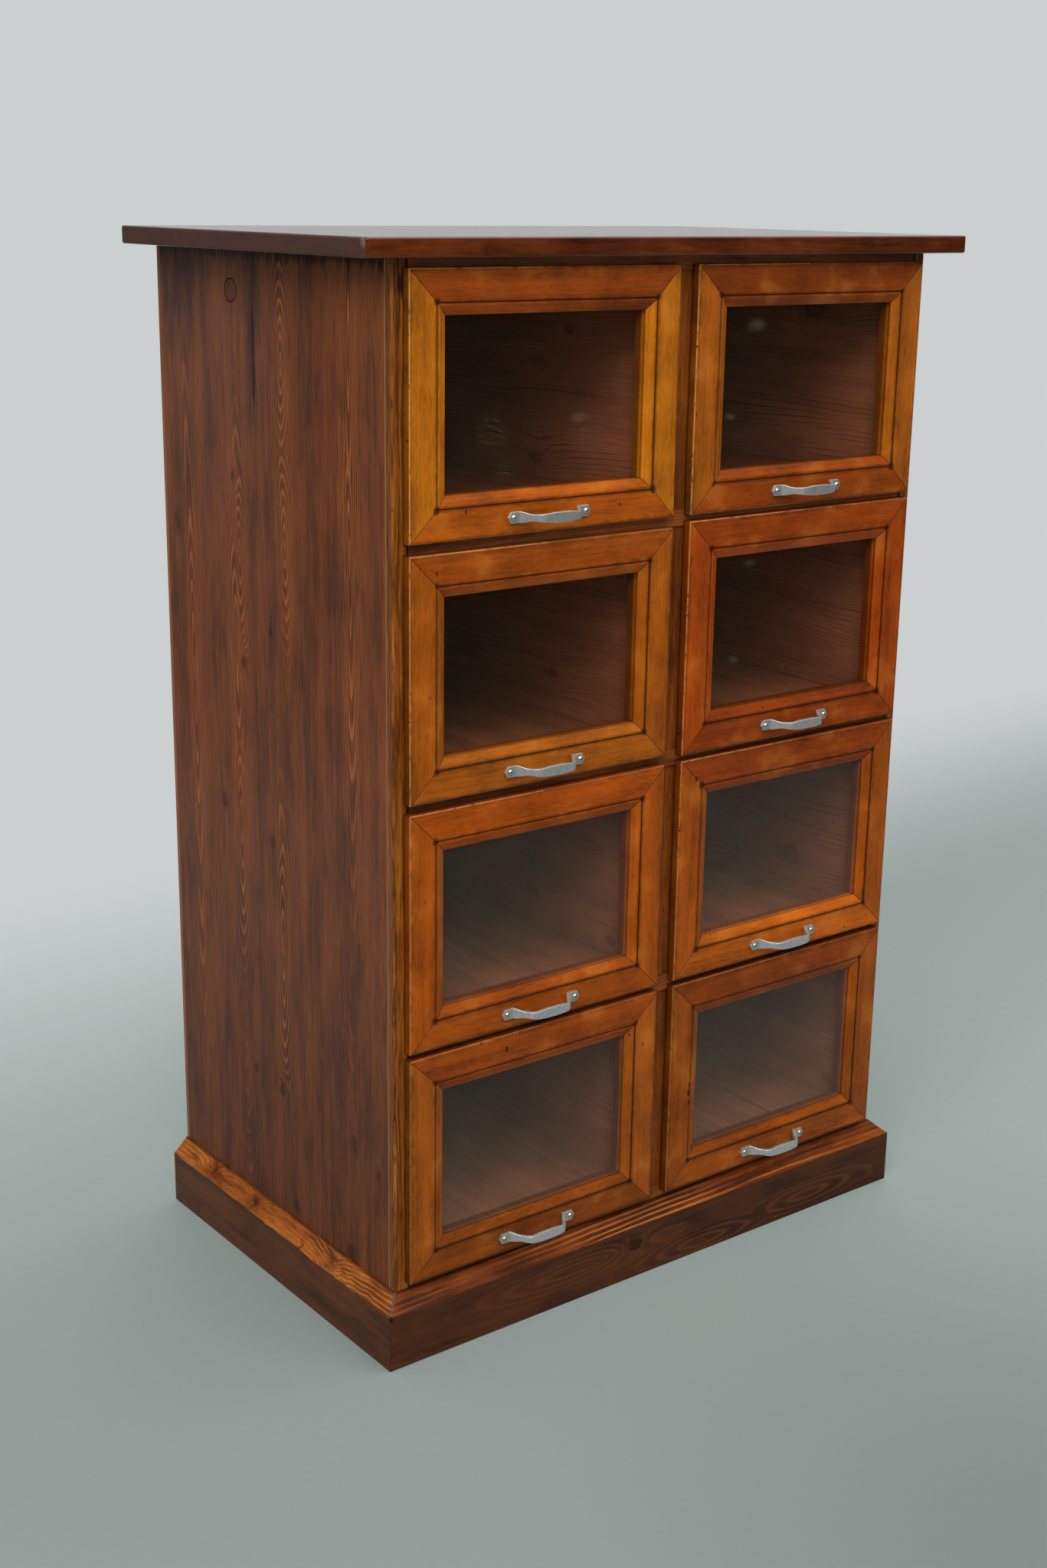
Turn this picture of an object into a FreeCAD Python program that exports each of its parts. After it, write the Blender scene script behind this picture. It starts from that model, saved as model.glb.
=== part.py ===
"""Floor-standing haberdashery cabinet: eight glazed drawers in a case with a bevelled plinth.

Millimetres. X runs along the front, Y from front to back, Z up. The origin is on the floor,
at the middle of the whole cabinet's width and depth, handles included. Heights and depths of
the case are measured from the floor and from the front plane, which is the face of the stiles.
Drawer pieces are drawn about their own origin: the middle of the front's lower edge, in the
front plane.
"""
import FreeCAD, Part
import Sketcher
import math
import os
import re

ROWS = 4
COLUMNS = {"left": -1, "right": 1}
SHORT_DRAWER = ("left", 2)

SIZES = [
    ("front_width", 291.0, "outer width of a drawer front"),
    ("front_height", 223.4, "outer height of a drawer front"),
    ("front_thick", 18.0, "thickness of the front's frame"),
    ("front_proud", 9.5, "how far a closed front stands out of the case"),
    ("front_round", 2.5, "radius of the front's outer arris"),
    ("short_trim", 6.6, "how much lower the one refitted front is"),
    ("short_raise", 2.8, "how much higher that front's lower edge lies"),
    ("row_gap", 5.3, "gap between the fronts of two rows"),
    ("column_gap", 20.0, "gap between the fronts of the two columns"),
    ("top_gap", 7.7, "gap between the top board and the highest fronts"),
    ("bottom_gap", 7.0, "gap between the plinth and the lowest fronts"),
    ("lip_overlap", 6.0, "how far a front laps over the edge of its opening"),
    ("opening_play", 1.0, "play of the front's inset part in its opening"),
    ("seat_gap", 0.2, "gap between a closed front's lip and the case"),
    ("flat_width", 27.5, "flat face of a frame member, up to the glazing groove"),
    ("bead_width", 10.5, "groove to sight edge"),
    ("bead_joint", 0.4, "open joint between the frame and the bead"),
    ("bead_set", 0.5, "how far the bead's crown lies below the frame's face"),
    ("bead_crown", 2.5, "level part of the bead, beside the groove"),
    ("bead_edge", 0.9, "thickness of the bead at the sight edge"),
    ("glass_set", 5.0, "depth of the glass below the frame's face"),
    ("glass_thick", 3.0, "thickness of the glass"),
    ("glass_play", 1.0, "play of the glass in its rebate, each side"),
    ("back_room", 39.0, "gap between a drawer box and the back panel"),
    ("head_room", 18.1, "gap between a drawer's sides and the rail above"),
    ("box_thick", 10.0, "thickness of a drawer's sides and back"),
    ("box_play", 1.5, "play between a drawer's side and the edge of its opening"),
    ("base_thick", 5.0, "thickness of a drawer's bottom"),
    ("base_set", 6.0, "height of the bottom above the lower edge of the sides"),
    ("groove_depth", 4.0, "depth of the grooves that hold the bottom"),
    ("groove_play", 0.5, "play of the bottom in its grooves"),
    ("run_gap", 0.3, "running gap between a drawer and its runners"),
    ("handle_span", 90.0, "length of a handle over its feet"),
    ("handle_reach", 20.5, "how far a handle stands out of the front"),
    ("handle_rise", 15.2, "height of a handle's middle above the front's lower edge"),
    ("foot_length", 12.0, "length of a handle's foot"),
    ("foot_height", 10.0, "height of a handle's foot"),
    ("foot_point", 2.7, "length of the foot's clipped end"),
    ("foot_thick", 2.5, "thickness of a handle's foot"),
    ("strap_thick", 3.0, "thickness of the bow's strap"),
    ("leg_spread", 12.5, "foot's inner end to the shoulder of the bow"),
    ("ankle_round", 2.0, "radius where a leg leaves its foot"),
    ("shoulder_round", 10.0, "outer radius of the bow's shoulder"),
    ("collar_in", 1.5, "foot's inner end to where the strap begins to narrow"),
    ("neck_out", 5.5, "shoulder of the bow to the strap's narrowest place"),
    ("neck_width", 5.8, "height of the strap at its narrowest"),
    ("neck_round", 6.0, "radius of the strap's hollow edge at the neck"),
    ("grip_in", 12.5, "shoulder of the bow to the end of the wide grip"),
    ("grip_width", 9.2, "height of the strap at the grip"),
    ("rim_round", 0.5, "radius of the handle's outer arrises"),
    ("screw_inset", 5.25, "handle's end to the nearer screw"),
    ("screw_head", 5.2, "diameter of a screw's head"),
    ("screw_dome", 2.0, "height of a screw's head"),
    ("screw_shank", 3.0, "diameter of a screw's shank"),
    ("screw_length", 14.0, "length of a screw under its head"),
    ("screw_slot", 0.8, "width and depth of the slot in a screw's head"),
    ("screw_play", 0.1, "play of a screw in its holes, each side"),
    ("case_depth", 392.5, "front plane to the back edge of the side panels"),
    ("side_thick", 16.0, "thickness of a side panel and width of a stile"),
    ("side_joint", 221.0, "front plane to the glued joint of a side panel"),
    ("stile_thick", 10.0, "thickness of a stile"),
    ("stile_round", 2.5, "radius of a stile's outer arris"),
    ("back_thick", 5.0, "thickness of the back panel"),
    ("back_raise", 12.0, "floor to the lower edge of the back panel"),
    ("top_thick", 16.3, "thickness of the top board"),
    ("top_side_over", 37.0, "overhang of the top board at each side"),
    ("top_front_over", 21.0, "overhang of the top board in front"),
    ("top_back_over", 5.0, "overhang of the top board behind the side panels"),
    ("top_corner", 5.0, "radius of the top board's corners in plan"),
    ("top_round", 2.0, "radius of the top board's arrises"),
    ("plinth_height", 69.5, "height of the plinth"),
    ("plinth_bevel", 14.2, "height of the plinth's bevel"),
    ("plinth_thick", 16.5, "thickness of a plinth board"),
    ("plinth_land", 1.0, "level edge of a plinth board, above its bevel"),
    ("plinth_back_over", 5.0, "how far the plinth runs on behind the side panels"),
    ("rail_depth", 40.0, "front to back of a front rail"),
    ("rail_hidden", 24.0, "how far the bottom rail goes down behind the plinth"),
    ("muntin_set", 2.0, "how far the muntins stand back from the rails"),
    ("partition_thick", 12.0, "thickness of the centre partition"),
    ("floor_thick", 12.0, "thickness of the floor board"),
    ("runner_width", 20.0, "width of a runner"),
    ("runner_height", 12.0, "height of a runner"),
    ("guide_height", 18.0, "height of a guide above its runner"),
    ("plug_diameter", 22.0, "diameter of the bore for the side panel's plug"),
    ("plug_depth", 8.0, "depth of that bore"),
    ("plug_play", 0.1, "play of the plug in its bore, each side"),
    ("plug_back", 38.0, "side panel's glued joint to the plug's centre"),
    ("plug_drop", 36.7, "top board to the plug's centre"),
]

DERIVED = [
    ("opening_edge", "lip_overlap - opening_play", "front's outer edge to its opening's edge"),
    ("side_margin", "side_thick - opening_edge", "case's side to the nearest front"),
    ("case_width", "2 * (front_width + side_margin) + column_gap", "over the side panels"),
    ("column_at", "(front_width + column_gap) / 2", "middle of the case to a column's middle"),
    ("row_pitch", "front_height + row_gap", "from row to row"),
    ("first_front", "plinth_height + bottom_gap", "floor to the lowest fronts"),
    ("top_under", f"first_front + {ROWS} * row_pitch - row_gap + top_gap", "floor to the top board"),
    ("reach", "front_proud + handle_reach", "front plane to the handles' outermost points"),
    ("front_at", "(reach - case_depth - plinth_back_over) / 2", "front plane's place along Y"),
    ("inner_half", "case_width / 2 - side_thick", "middle of the case to a side panel's inner face"),
    ("muntin_half", "column_gap / 2 + opening_edge", "half the width of a muntin"),
    ("first_run", "first_front + opening_edge", "floor to the top of the lowest runners"),
    ("opening_height", "front_height - 2 * opening_edge", "height of a drawer's opening"),
    ("floor_top", "first_run - runner_height", "floor to the top of the floor board"),
    ("frame_back", "front_thick - front_proud", "front plane to the back of a drawer's frame"),
    ("box_depth", "case_depth - frame_back - back_room", "length of a drawer box behind its front"),
    ("box_height", "opening_height - run_gap - head_room", "height of a drawer's sides"),
    ("member", "flat_width + bead_width", "width of a frame member"),
    ("rebate_depth", "glass_set + glass_thick", "frame's face to the floor of its rebate"),
    ("box_half", "front_width / 2 - opening_edge - box_play", "half the width of a drawer box"),
    ("box_low", "opening_edge + run_gap", "lower edge of a drawer's sides"),
    ("base_low", "box_low + base_set", "underside of a drawer's bottom"),
    ("screw_spacing", "handle_span - 2 * screw_inset", "distance between a handle's two screws"),
    ("plinth_face", "plinth_height - plinth_bevel", "height of the plinth's upright face"),
    ("plug_at", "side_joint + plug_back", "front plane to the plug's centre"),
    ("shoulder_at", "handle_span / 2 - foot_length - leg_spread",
     "middle of the handle to the shoulder of the bow"),
    ("leg_slope", "leg_spread / (handle_reach - foot_thick)",
     "run of a handle's leg for each unit of its rise"),
    ("leg_run", "strap_thick * sqrt(1 + leg_slope ^ 2)", "thickness of a leg measured along X"),
    ("leg_foot", "handle_span / 2 - foot_length + foot_thick * leg_slope - leg_run",
     "middle of the handle to the inside of a leg, at the front's face"),
    ("hollow_round", "shoulder_round - strap_thick", "inner radius of the bow's shoulder"),
    ("leg_bend", "shoulder_at + strap_thick * leg_slope - leg_run",
     "middle of the handle to the inside of its shoulder"),
]

ALIASES = {row[0] for row in SIZES + DERIVED}
RADIUS_OF_FIRST_GUESS = 10.0
CLEAR_OF_THE_PIECE = 5.0

doc = FreeCAD.newDocument("haberdashery_cabinet")


def vector(x=0.0, y=0.0, z=0.0):
    return FreeCAD.Vector(x, y, z)


def sized(formula):
    """The formula with each name of a size pointing to its cell in the sheet."""
    return re.sub(r"[a-z_]+", lambda m: "Sizes." + m[0] if m[0] in ALIASES else m[0], formula)


def make_sheet():
    """The sheet of sizes: driving ones as plain numbers, then those worked out from them."""
    sheet = doc.addObject("Spreadsheet::Sheet", "Sizes")
    for row, (alias, content, meaning) in enumerate(SIZES + DERIVED, start=1):
        text = content if isinstance(content, float) else "=" + content
        sheet.set(f"A{row}", alias)
        sheet.set(f"B{row}", str(text))
        sheet.set(f"C{row}", meaning)
        sheet.setAlias(f"B{row}", alias)
    doc.recompute()
    return sheet


sheet = make_sheet()


def size(alias):
    """The present value of one size."""
    return float(sheet.get(alias))


def bind(obj, **formulas):
    """Tie properties of an object to the sheet."""
    for name, formula in formulas.items():
        obj.setExpression(name, sized(formula))
    return obj


def place(obj, x="0", y="0", z="0"):
    """Tie an object's position to the sheet."""
    for axis, formula in zip("xyz", (x, y, z)):
        obj.setExpression(f"Placement.Base.{axis}", sized(formula))
    return obj


def turn(obj, axis, degrees):
    """Turn an object about its own origin."""
    obj.Placement = FreeCAD.Placement(obj.Placement.Base, FreeCAD.Rotation(axis, degrees))
    return obj


def block(name, length, width, height, x="0", y="0", z="0"):
    """A rectangular piece, by its sizes along X, Y and Z and its lowest corner."""
    box = doc.addObject("Part::Box", name)
    bind(box, Length=length, Width=width, Height=height)
    return place(box, x, y, z)


def group(label, pieces):
    """One sub-part made of separate solids."""
    compound = doc.addObject("Part::Compound", label)
    compound.Label = label
    compound.Links = pieces
    return compound


def body(label):
    part = doc.addObject("PartDesign::Body", label)
    part.Label = label
    return part


def sketch_on(part, name, role):
    """An empty sketch on one of the body's own origin planes."""
    sketch = part.newObject("Sketcher::SketchObject", name)
    plane = next(f for f in part.Origin.OriginFeatures if f.Role == role)
    sketch.AttachmentSupport = [(plane, "")]
    sketch.MapMode = "FlatFace"
    return sketch


def add_outline(sketch, corners):
    """A closed outline of straight runs; each corner is a pair of formulas.

    The corners start on a circle, in order, and the constraints then carry them to their places.
    """
    first = sketch.GeometryCount
    count = len(corners)
    angles = [2 * math.pi * step / count for step in range(count)]
    guess = [vector(math.cos(a), math.sin(a)) * RADIUS_OF_FIRST_GUESS for a in angles]
    for step in range(count):
        sketch.addGeometry(Part.LineSegment(guess[step], guess[(step + 1) % count]), False)
    for step in range(count):
        following = first + (step + 1) % count
        sketch.addConstraint(Sketcher.Constraint("Coincident", first + step, 2, following, 1))
    for step, corner in enumerate(corners):
        distances = zip(("DistanceX", "DistanceY"), (guess[step].x, guess[step].y), corner)
        for kind, value, formula in distances:
            constraint = Sketcher.Constraint(kind, -1, 1, first + step, 1, value)
            index = sketch.addConstraint(constraint)
            sketch.setExpression(f"Constraints[{index}]", sized(formula))


def outline(part, name, role, *loops):
    """A sketch of one or more closed outlines."""
    sketch = sketch_on(part, name, role)
    for corners in loops:
        add_outline(sketch, corners)
    return sketch


def rectangle(left, right, low, high):
    return [(left, low), (right, low), (right, high), (left, high)]


def add_circle(sketch, across, up, radius):
    index = sketch.addGeometry(Part.Circle(vector(), vector(z=1), 1.0), False)
    tied = [("Radius", (index, 1.0), radius),
            ("DistanceX", (-1, 1, index, 3, 1.0), across),
            ("DistanceY", (-1, 1, index, 3, 1.0), up)]
    for kind, operands, formula in tied:
        constraint = sketch.addConstraint(Sketcher.Constraint(kind, *operands))
        sketch.setExpression(f"Constraints[{constraint}]", sized(formula))


def add_dome(sketch, depth, radius):
    """Half the section of a lens: from its apex round to its rim, then back along its flat."""
    arc = sketch.addGeometry(
        Part.ArcOfCircle(Part.Circle(vector(1.0), vector(z=1), 2.0), math.pi / 2, math.pi), False)
    axis = sketch.addGeometry(Part.LineSegment(vector(-1.0), vector(1.0)), False)
    flat = sketch.addGeometry(Part.LineSegment(vector(1.0), vector(1.0, 2.0)), False)
    for ends in ((arc, 2, axis, 1), (axis, 2, flat, 1), (flat, 2, arc, 1)):
        sketch.addConstraint(Sketcher.Constraint("Coincident", *ends))
    sketch.addConstraint(Sketcher.Constraint("PointOnObject", arc, 3, -1))
    sketch.addConstraint(Sketcher.Constraint("PointOnObject", axis, 1, -1))
    sketch.addConstraint(Sketcher.Constraint("Coincident", axis, 2, -1, 1))
    sketch.addConstraint(Sketcher.Constraint("PointOnObject", flat, 2, -2))
    tied = [(("DistanceX", -1, 1, axis, 1, -1.0), f"-({depth})"),
            (("DistanceY", -1, 1, flat, 2, 2.0), radius)]
    for operands, formula in tied:
        constraint = sketch.addConstraint(Sketcher.Constraint(*operands))
        sketch.setExpression(f"Constraints[{constraint}]", sized(formula))


def pad(part, sketch, length, middle=False, backwards=False):
    feature = part.newObject("PartDesign::Pad", sketch.Name + "Pad")
    feature.Profile = sketch
    feature.Midplane = middle
    feature.Reversed = backwards
    return bind(feature, Length=length)


def pocket(part, sketch, backwards=False, middle=False, depth=None):
    """A cut through the whole piece, or as deep as the formula says."""
    feature = part.newObject("PartDesign::Pocket", sketch.Name + "Pocket")
    feature.Profile = sketch
    feature.Reversed = backwards
    feature.Midplane = middle
    if depth is None:
        feature.Type = "ThroughAll"
    else:
        bind(feature, Length=depth)
    return feature


def round_edges(part, radius, chosen):
    """Round the edges of the body's last feature for which chosen(edge) holds."""
    doc.recompute()
    base = part.Tip
    names = [f"Edge{i}" for i, edge in enumerate(base.Shape.Edges, start=1) if chosen(edge)]
    fillet = part.newObject("PartDesign::Fillet", base.Name + "Round")
    fillet.Base = (base, names)
    return bind(fillet, Radius=radius)


def runs_along(edge, axis):
    """True for a straight edge along the axis "x", "y" or "z"."""
    if not isinstance(edge.Curve, Part.Line):
        return False
    return near(abs(getattr(edge.Curve.Direction, axis)), 1.0)


def middle_of(edge):
    return edge.BoundBox.Center


def near(value, target, within=0.01):
    return abs(value - target) < within


# The case


def make_top_board():
    board = body("top_board")
    half = "case_width / 2 + top_side_over"
    plan = outline(board, "TopPlan", "XY_Plane",
                   rectangle("-(" + half + ")", half, "-top_front_over", "case_depth + top_back_over"))
    pad(board, plan, "top_thick")
    round_edges(board, "top_corner", lambda edge: runs_along(edge, "z"))
    round_edges(board, "top_round", lambda edge: not runs_along(edge, "z"))
    return place(board, y="front_at", z="top_under")


def make_side_panel(name, side):
    """Two upright boards with a glued joint; the left panel has a bore for its plug."""
    outer = f"{side} * case_width / 2"
    inner = f"{side} * inner_half"
    front_board = body(f"{name}_front_board")
    plan = outline(front_board, f"{name}FrontPlan", "XY_Plane",
                   rectangle(inner, outer, "stile_thick", "side_joint"))
    pad(front_board, plan, "top_under")
    back_board = body(f"{name}_back_board")
    plan = outline(back_board, f"{name}BackPlan", "XY_Plane",
                   rectangle(inner, outer, "side_joint", "case_depth"))
    pad(back_board, plan, "top_under")
    if side < 0:
        bore = sketch_on(back_board, "PlugBore", "YZ_Plane")
        add_circle(bore, "plug_at", "top_under - plug_drop", "plug_diameter / 2")
        bind(bore, **{"AttachmentOffset.Base.z": outer})
        pocket(back_board, bore, backwards=True, depth="plug_depth")
    for board in (front_board, back_board):
        place(board, y="front_at")
    return group(name, [front_board, back_board])


def make_side_plug():
    plug = doc.addObject("Part::Cylinder", "side_plug")
    plug.Label = "side_plug"
    turn(plug, vector(y=1), 90)
    bind(plug, Radius="plug_diameter / 2 - plug_play", Height="plug_depth")
    return place(plug, "-case_width / 2", "front_at + plug_at", "top_under - plug_drop")


def make_stiles():
    """Oak strips over the front edges of the side panels, with a rounded outer arris."""
    stiles = []
    for name, side in COLUMNS.items():
        stile = body(f"{name}_stile")
        plan = outline(stile, f"{name}StilePlan", "XY_Plane",
                       rectangle(f"{side} * inner_half", f"{side} * case_width / 2", "0", "stile_thick"))
        pad(stile, plan, "top_under")
        outer = side * size("case_width") / 2
        round_edges(stile, "stile_round",
                    lambda edge: runs_along(edge, "z") and near(middle_of(edge).x, outer)
                    and near(middle_of(edge).y, 0.0))
        stiles.append(place(stile, y="front_at"))
    return group("front_stiles", stiles)


def make_rails():
    """Rails between the stiles: bottom, three between the rows, top."""
    lows = ["plinth_height - rail_hidden"]
    highs = ["first_run"]
    for row in range(1, ROWS):
        lows.append(f"first_front + {row} * row_pitch - row_gap - opening_edge")
        highs.append(f"first_run + {row} * row_pitch")
    lows.append("top_under - top_gap - opening_edge")
    highs.append("top_under")
    rails = [block(f"rail_{i}", "2 * inner_half", "rail_depth", f"({high}) - ({low})",
                   "-inner_half", "front_at", low)
             for i, (low, high) in enumerate(zip(lows, highs))]
    return group("front_rails", rails)


def make_muntins():
    muntins = [block(f"muntin_{row}", "2 * muntin_half", "rail_depth - muntin_set", "opening_height",
                     "-muntin_half", "front_at + muntin_set", f"first_run + {row} * row_pitch")
               for row in range(ROWS)]
    return group("centre_muntins", muntins)


def make_partition():
    return block("centre_partition", "partition_thick", "case_depth - rail_depth",
                 "top_under - floor_top", "-partition_thick / 2", "front_at + rail_depth", "floor_top")


def make_floor_board():
    return block("floor_board", "2 * inner_half", "case_depth - rail_depth", "floor_thick",
                 "-inner_half", "front_at + rail_depth", "floor_top - floor_thick")


def make_back_panel():
    return block("back_panel", "case_width", "back_thick", "top_under - back_raise",
                 "-case_width / 2", "front_at + case_depth", "back_raise")


def make_runners():
    """Runners on both sides of each opening, and a guide on top of each inner one."""
    pieces = []
    run = "case_depth - rail_depth"
    start = "front_at + rail_depth"
    for row in range(ROWS):
        top = f"first_run + {row} * row_pitch"
        low = top + " - runner_height"
        places = {"outer_left": "-inner_half",
                  "inner_left": "-partition_thick / 2 - runner_width",
                  "inner_right": "partition_thick / 2",
                  "outer_right": "inner_half - runner_width"}
        for name, x in places.items():
            pieces.append(block(f"runner_{name}_{row}", "runner_width", run, "runner_height",
                                x, start, low))
        guide_width = "muntin_half - partition_thick / 2"
        for name, x in (("left", "-muntin_half"), ("right", "partition_thick / 2")):
            pieces.append(block(f"guide_{name}_{row}", guide_width, run, "guide_height",
                                x, start, top))
    return group("drawer_runners", pieces)


def plinth_section(side, edge):
    """A plinth board's section, standing out from the case's face at the given edge."""
    return [(edge, "0"),
            (f"{edge} + {side} * plinth_thick", "0"),
            (f"{edge} + {side} * plinth_thick", "plinth_face"),
            (f"{edge} + {side} * plinth_land", "plinth_height"),
            (edge, "plinth_height")]


def make_plinth():
    """Three bevelled boards, mitred where the front one meets the sides."""
    boards = []
    corner = "case_width / 2"
    front = body("plinth_front")
    section = outline(front, "PlinthFrontSection", "YZ_Plane", plinth_section(-1, "0"))
    pad(front, section, f"2 * ({corner} + plinth_thick)", middle=True)
    mitres = [[(f"{side} * {corner}", "0"),
               (f"{side} * ({corner} + plinth_thick)", "0"),
               (f"{side} * ({corner} + plinth_thick)", "-plinth_thick")] for side in (-1, 1)]
    pocket(front, outline(front, "PlinthFrontMitres", "XY_Plane", *mitres), backwards=True)
    boards.append(front)
    for name, side in COLUMNS.items():
        board = body(f"plinth_{name}")
        section = outline(board, f"Plinth_{name}_Section", "XZ_Plane",
                          plinth_section(side, f"{side} * {corner}"))
        bind(section, **{"AttachmentOffset.Base.z": "plinth_thick"})
        pad(board, section, "plinth_thick + case_depth + plinth_back_over", backwards=True)
        mitre = [(f"{side} * {corner}", "0"),
                 (f"{side} * {corner}", "-plinth_thick"),
                 (f"{side} * ({corner} + plinth_thick)", "-plinth_thick")]
        pocket(board, outline(board, f"Plinth_{name}_Mitre", "XY_Plane", mitre), backwards=True)
        boards.append(board)
    for board in boards:
        place(board, y="front_at")
    return group("plinth_boards", boards)


# The drawers


def make_strip(name, section, length, reach, screws=False):
    """A strip with the given section, its outer edge along X and both ends mitred.

    The ends meet the neighbouring strips on the two diagonals that leave the outer corners of
    the frame. The section lies in the YZ plane with its outer edge on the X axis; reach is how far
    it goes inwards from there.
    """
    strip = body(name)
    pad(strip, outline(strip, name + "Section", "YZ_Plane", section), length, middle=True)
    ends = [[(f"{side} * ({length}) / 2", "0"),
             (f"{side} * ({length}) / 2", reach),
             (f"{side} * (({length}) / 2 - ({reach}))", reach)] for side in (-1, 1)]
    pocket(strip, outline(strip, name + "Mitres", "XZ_Plane", *ends), middle=True)
    if screws:
        holes = sketch_on(strip, name + "Holes", "XZ_Plane")
        for side in (-1, 1):
            add_circle(holes, f"{side} * screw_spacing / 2", "handle_rise",
                       "screw_shank / 2 + screw_play")
        bind(holes, **{"AttachmentOffset.Base.z": "front_proud"})
        pocket(strip, holes, depth="screw_length - foot_thick + 2 * screw_play")
    return strip


def frame_section():
    """Lipped outside, rebated from the front for the glass and its bead."""
    return [("-front_proud", "0"),
            ("-front_proud", "flat_width"),
            ("rebate_depth - front_proud", "flat_width"),
            ("rebate_depth - front_proud", "member"),
            ("frame_back", "member"),
            ("frame_back", "lip_overlap"),
            ("-seat_gap", "lip_overlap"),
            ("-seat_gap", "0")]


def bead_section():
    """Level beside the groove, then sloping down to a thin edge on the glass."""
    return [("glass_set - front_proud", "flat_width + bead_joint"),
            ("bead_set - front_proud", "flat_width + bead_joint"),
            ("bead_set - front_proud", "flat_width + bead_joint + bead_crown"),
            ("glass_set - bead_edge - front_proud", "member"),
            ("glass_set - front_proud", "member")]


def stand_around(strips, height):
    """Stand four strips around a front, in the order bottom, top, left, right."""
    bottom, top, left, right = strips
    place(bottom)
    turn(top, vector(y=1), 180)
    place(top, z=height)
    turn(left, vector(y=1), 90)
    place(left, x="-front_width / 2", z=f"({height}) / 2")
    turn(right, vector(y=1), -90)
    place(right, x="front_width / 2", z=f"({height}) / 2")
    return strips


def make_strips(prefix, section, height, screws=False):
    lengths = {"Bottom": "front_width", "Top": "front_width", "Left": height, "Right": height}
    strips = [make_strip(prefix + name, section, length, "member", screws and name == "Bottom")
              for name, length in lengths.items()]
    return stand_around(strips, height)


def round_front_arris(strips):
    """Round the outer front arris of each member of a frame."""
    face = -size("front_proud")
    for strip in strips:
        round_edges(strip, "front_round",
                    lambda edge: runs_along(edge, "x") and near(middle_of(edge).y, face)
                    and near(middle_of(edge).z, 0.0))


def make_glass(prefix, height):
    inset = "(flat_width + glass_play)"
    return block(prefix + "Glass", f"front_width - 2 * {inset}", "glass_thick",
                 f"({height}) - 2 * {inset}",
                 f"-(front_width / 2 - {inset})", "glass_set - front_proud", inset)


def make_box():
    """Two grooved sides, a back between them, and a bottom held in the grooves."""
    sides = []
    inner = "(box_half - box_thick)"
    for name, side in COLUMNS.items():
        board = body(f"Box{name}Side")
        plan = outline(board, f"Box{name}Plan", "YZ_Plane",
                       rectangle("frame_back", "frame_back + box_depth",
                                 "box_low", "box_low + box_height"))
        bind(plan, **{"AttachmentOffset.Base.z": f"{side} * (box_half - box_thick / 2)"})
        pad(board, plan, "box_thick", middle=True)
        groove = outline(board, f"Box{name}Groove", "XZ_Plane",
                         rectangle(f"{side} * ({inner} - groove_depth)",
                                   f"{side} * ({inner} + groove_depth)",
                                   "base_low", "base_low + base_thick + groove_play"))
        pocket(board, groove, middle=True)
        sides.append(board)
    back = block("BoxBack", f"2 * {inner}", "box_thick", "box_height - base_set - base_thick",
                 f"-{inner}", "frame_back + box_depth - box_thick", "base_low + base_thick")
    base_half = f"({inner} + groove_depth - groove_play)"
    base = block("BoxBase", f"2 * {base_half}", "box_depth", "base_thick",
                 f"-{base_half}", "frame_back", "base_low")
    return sides + [back, base]


def looks_out(face, edge):
    """True for a face that looks out of the cabinet's front where it meets the edge."""
    middle = edge.valueAt((edge.FirstParameter + edge.LastParameter) / 2)
    return face.normalAt(*face.Surface.parameter(middle)).y < -0.1


def on_outer_rim(shape, edge):
    """True for an edge between a face that looks out of the front and one that doesn't."""
    faces = shape.ancestorsOfType(edge, Part.Face)
    return len(faces) == 2 and looks_out(faces[0], edge) != looks_out(faces[1], edge)


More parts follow.
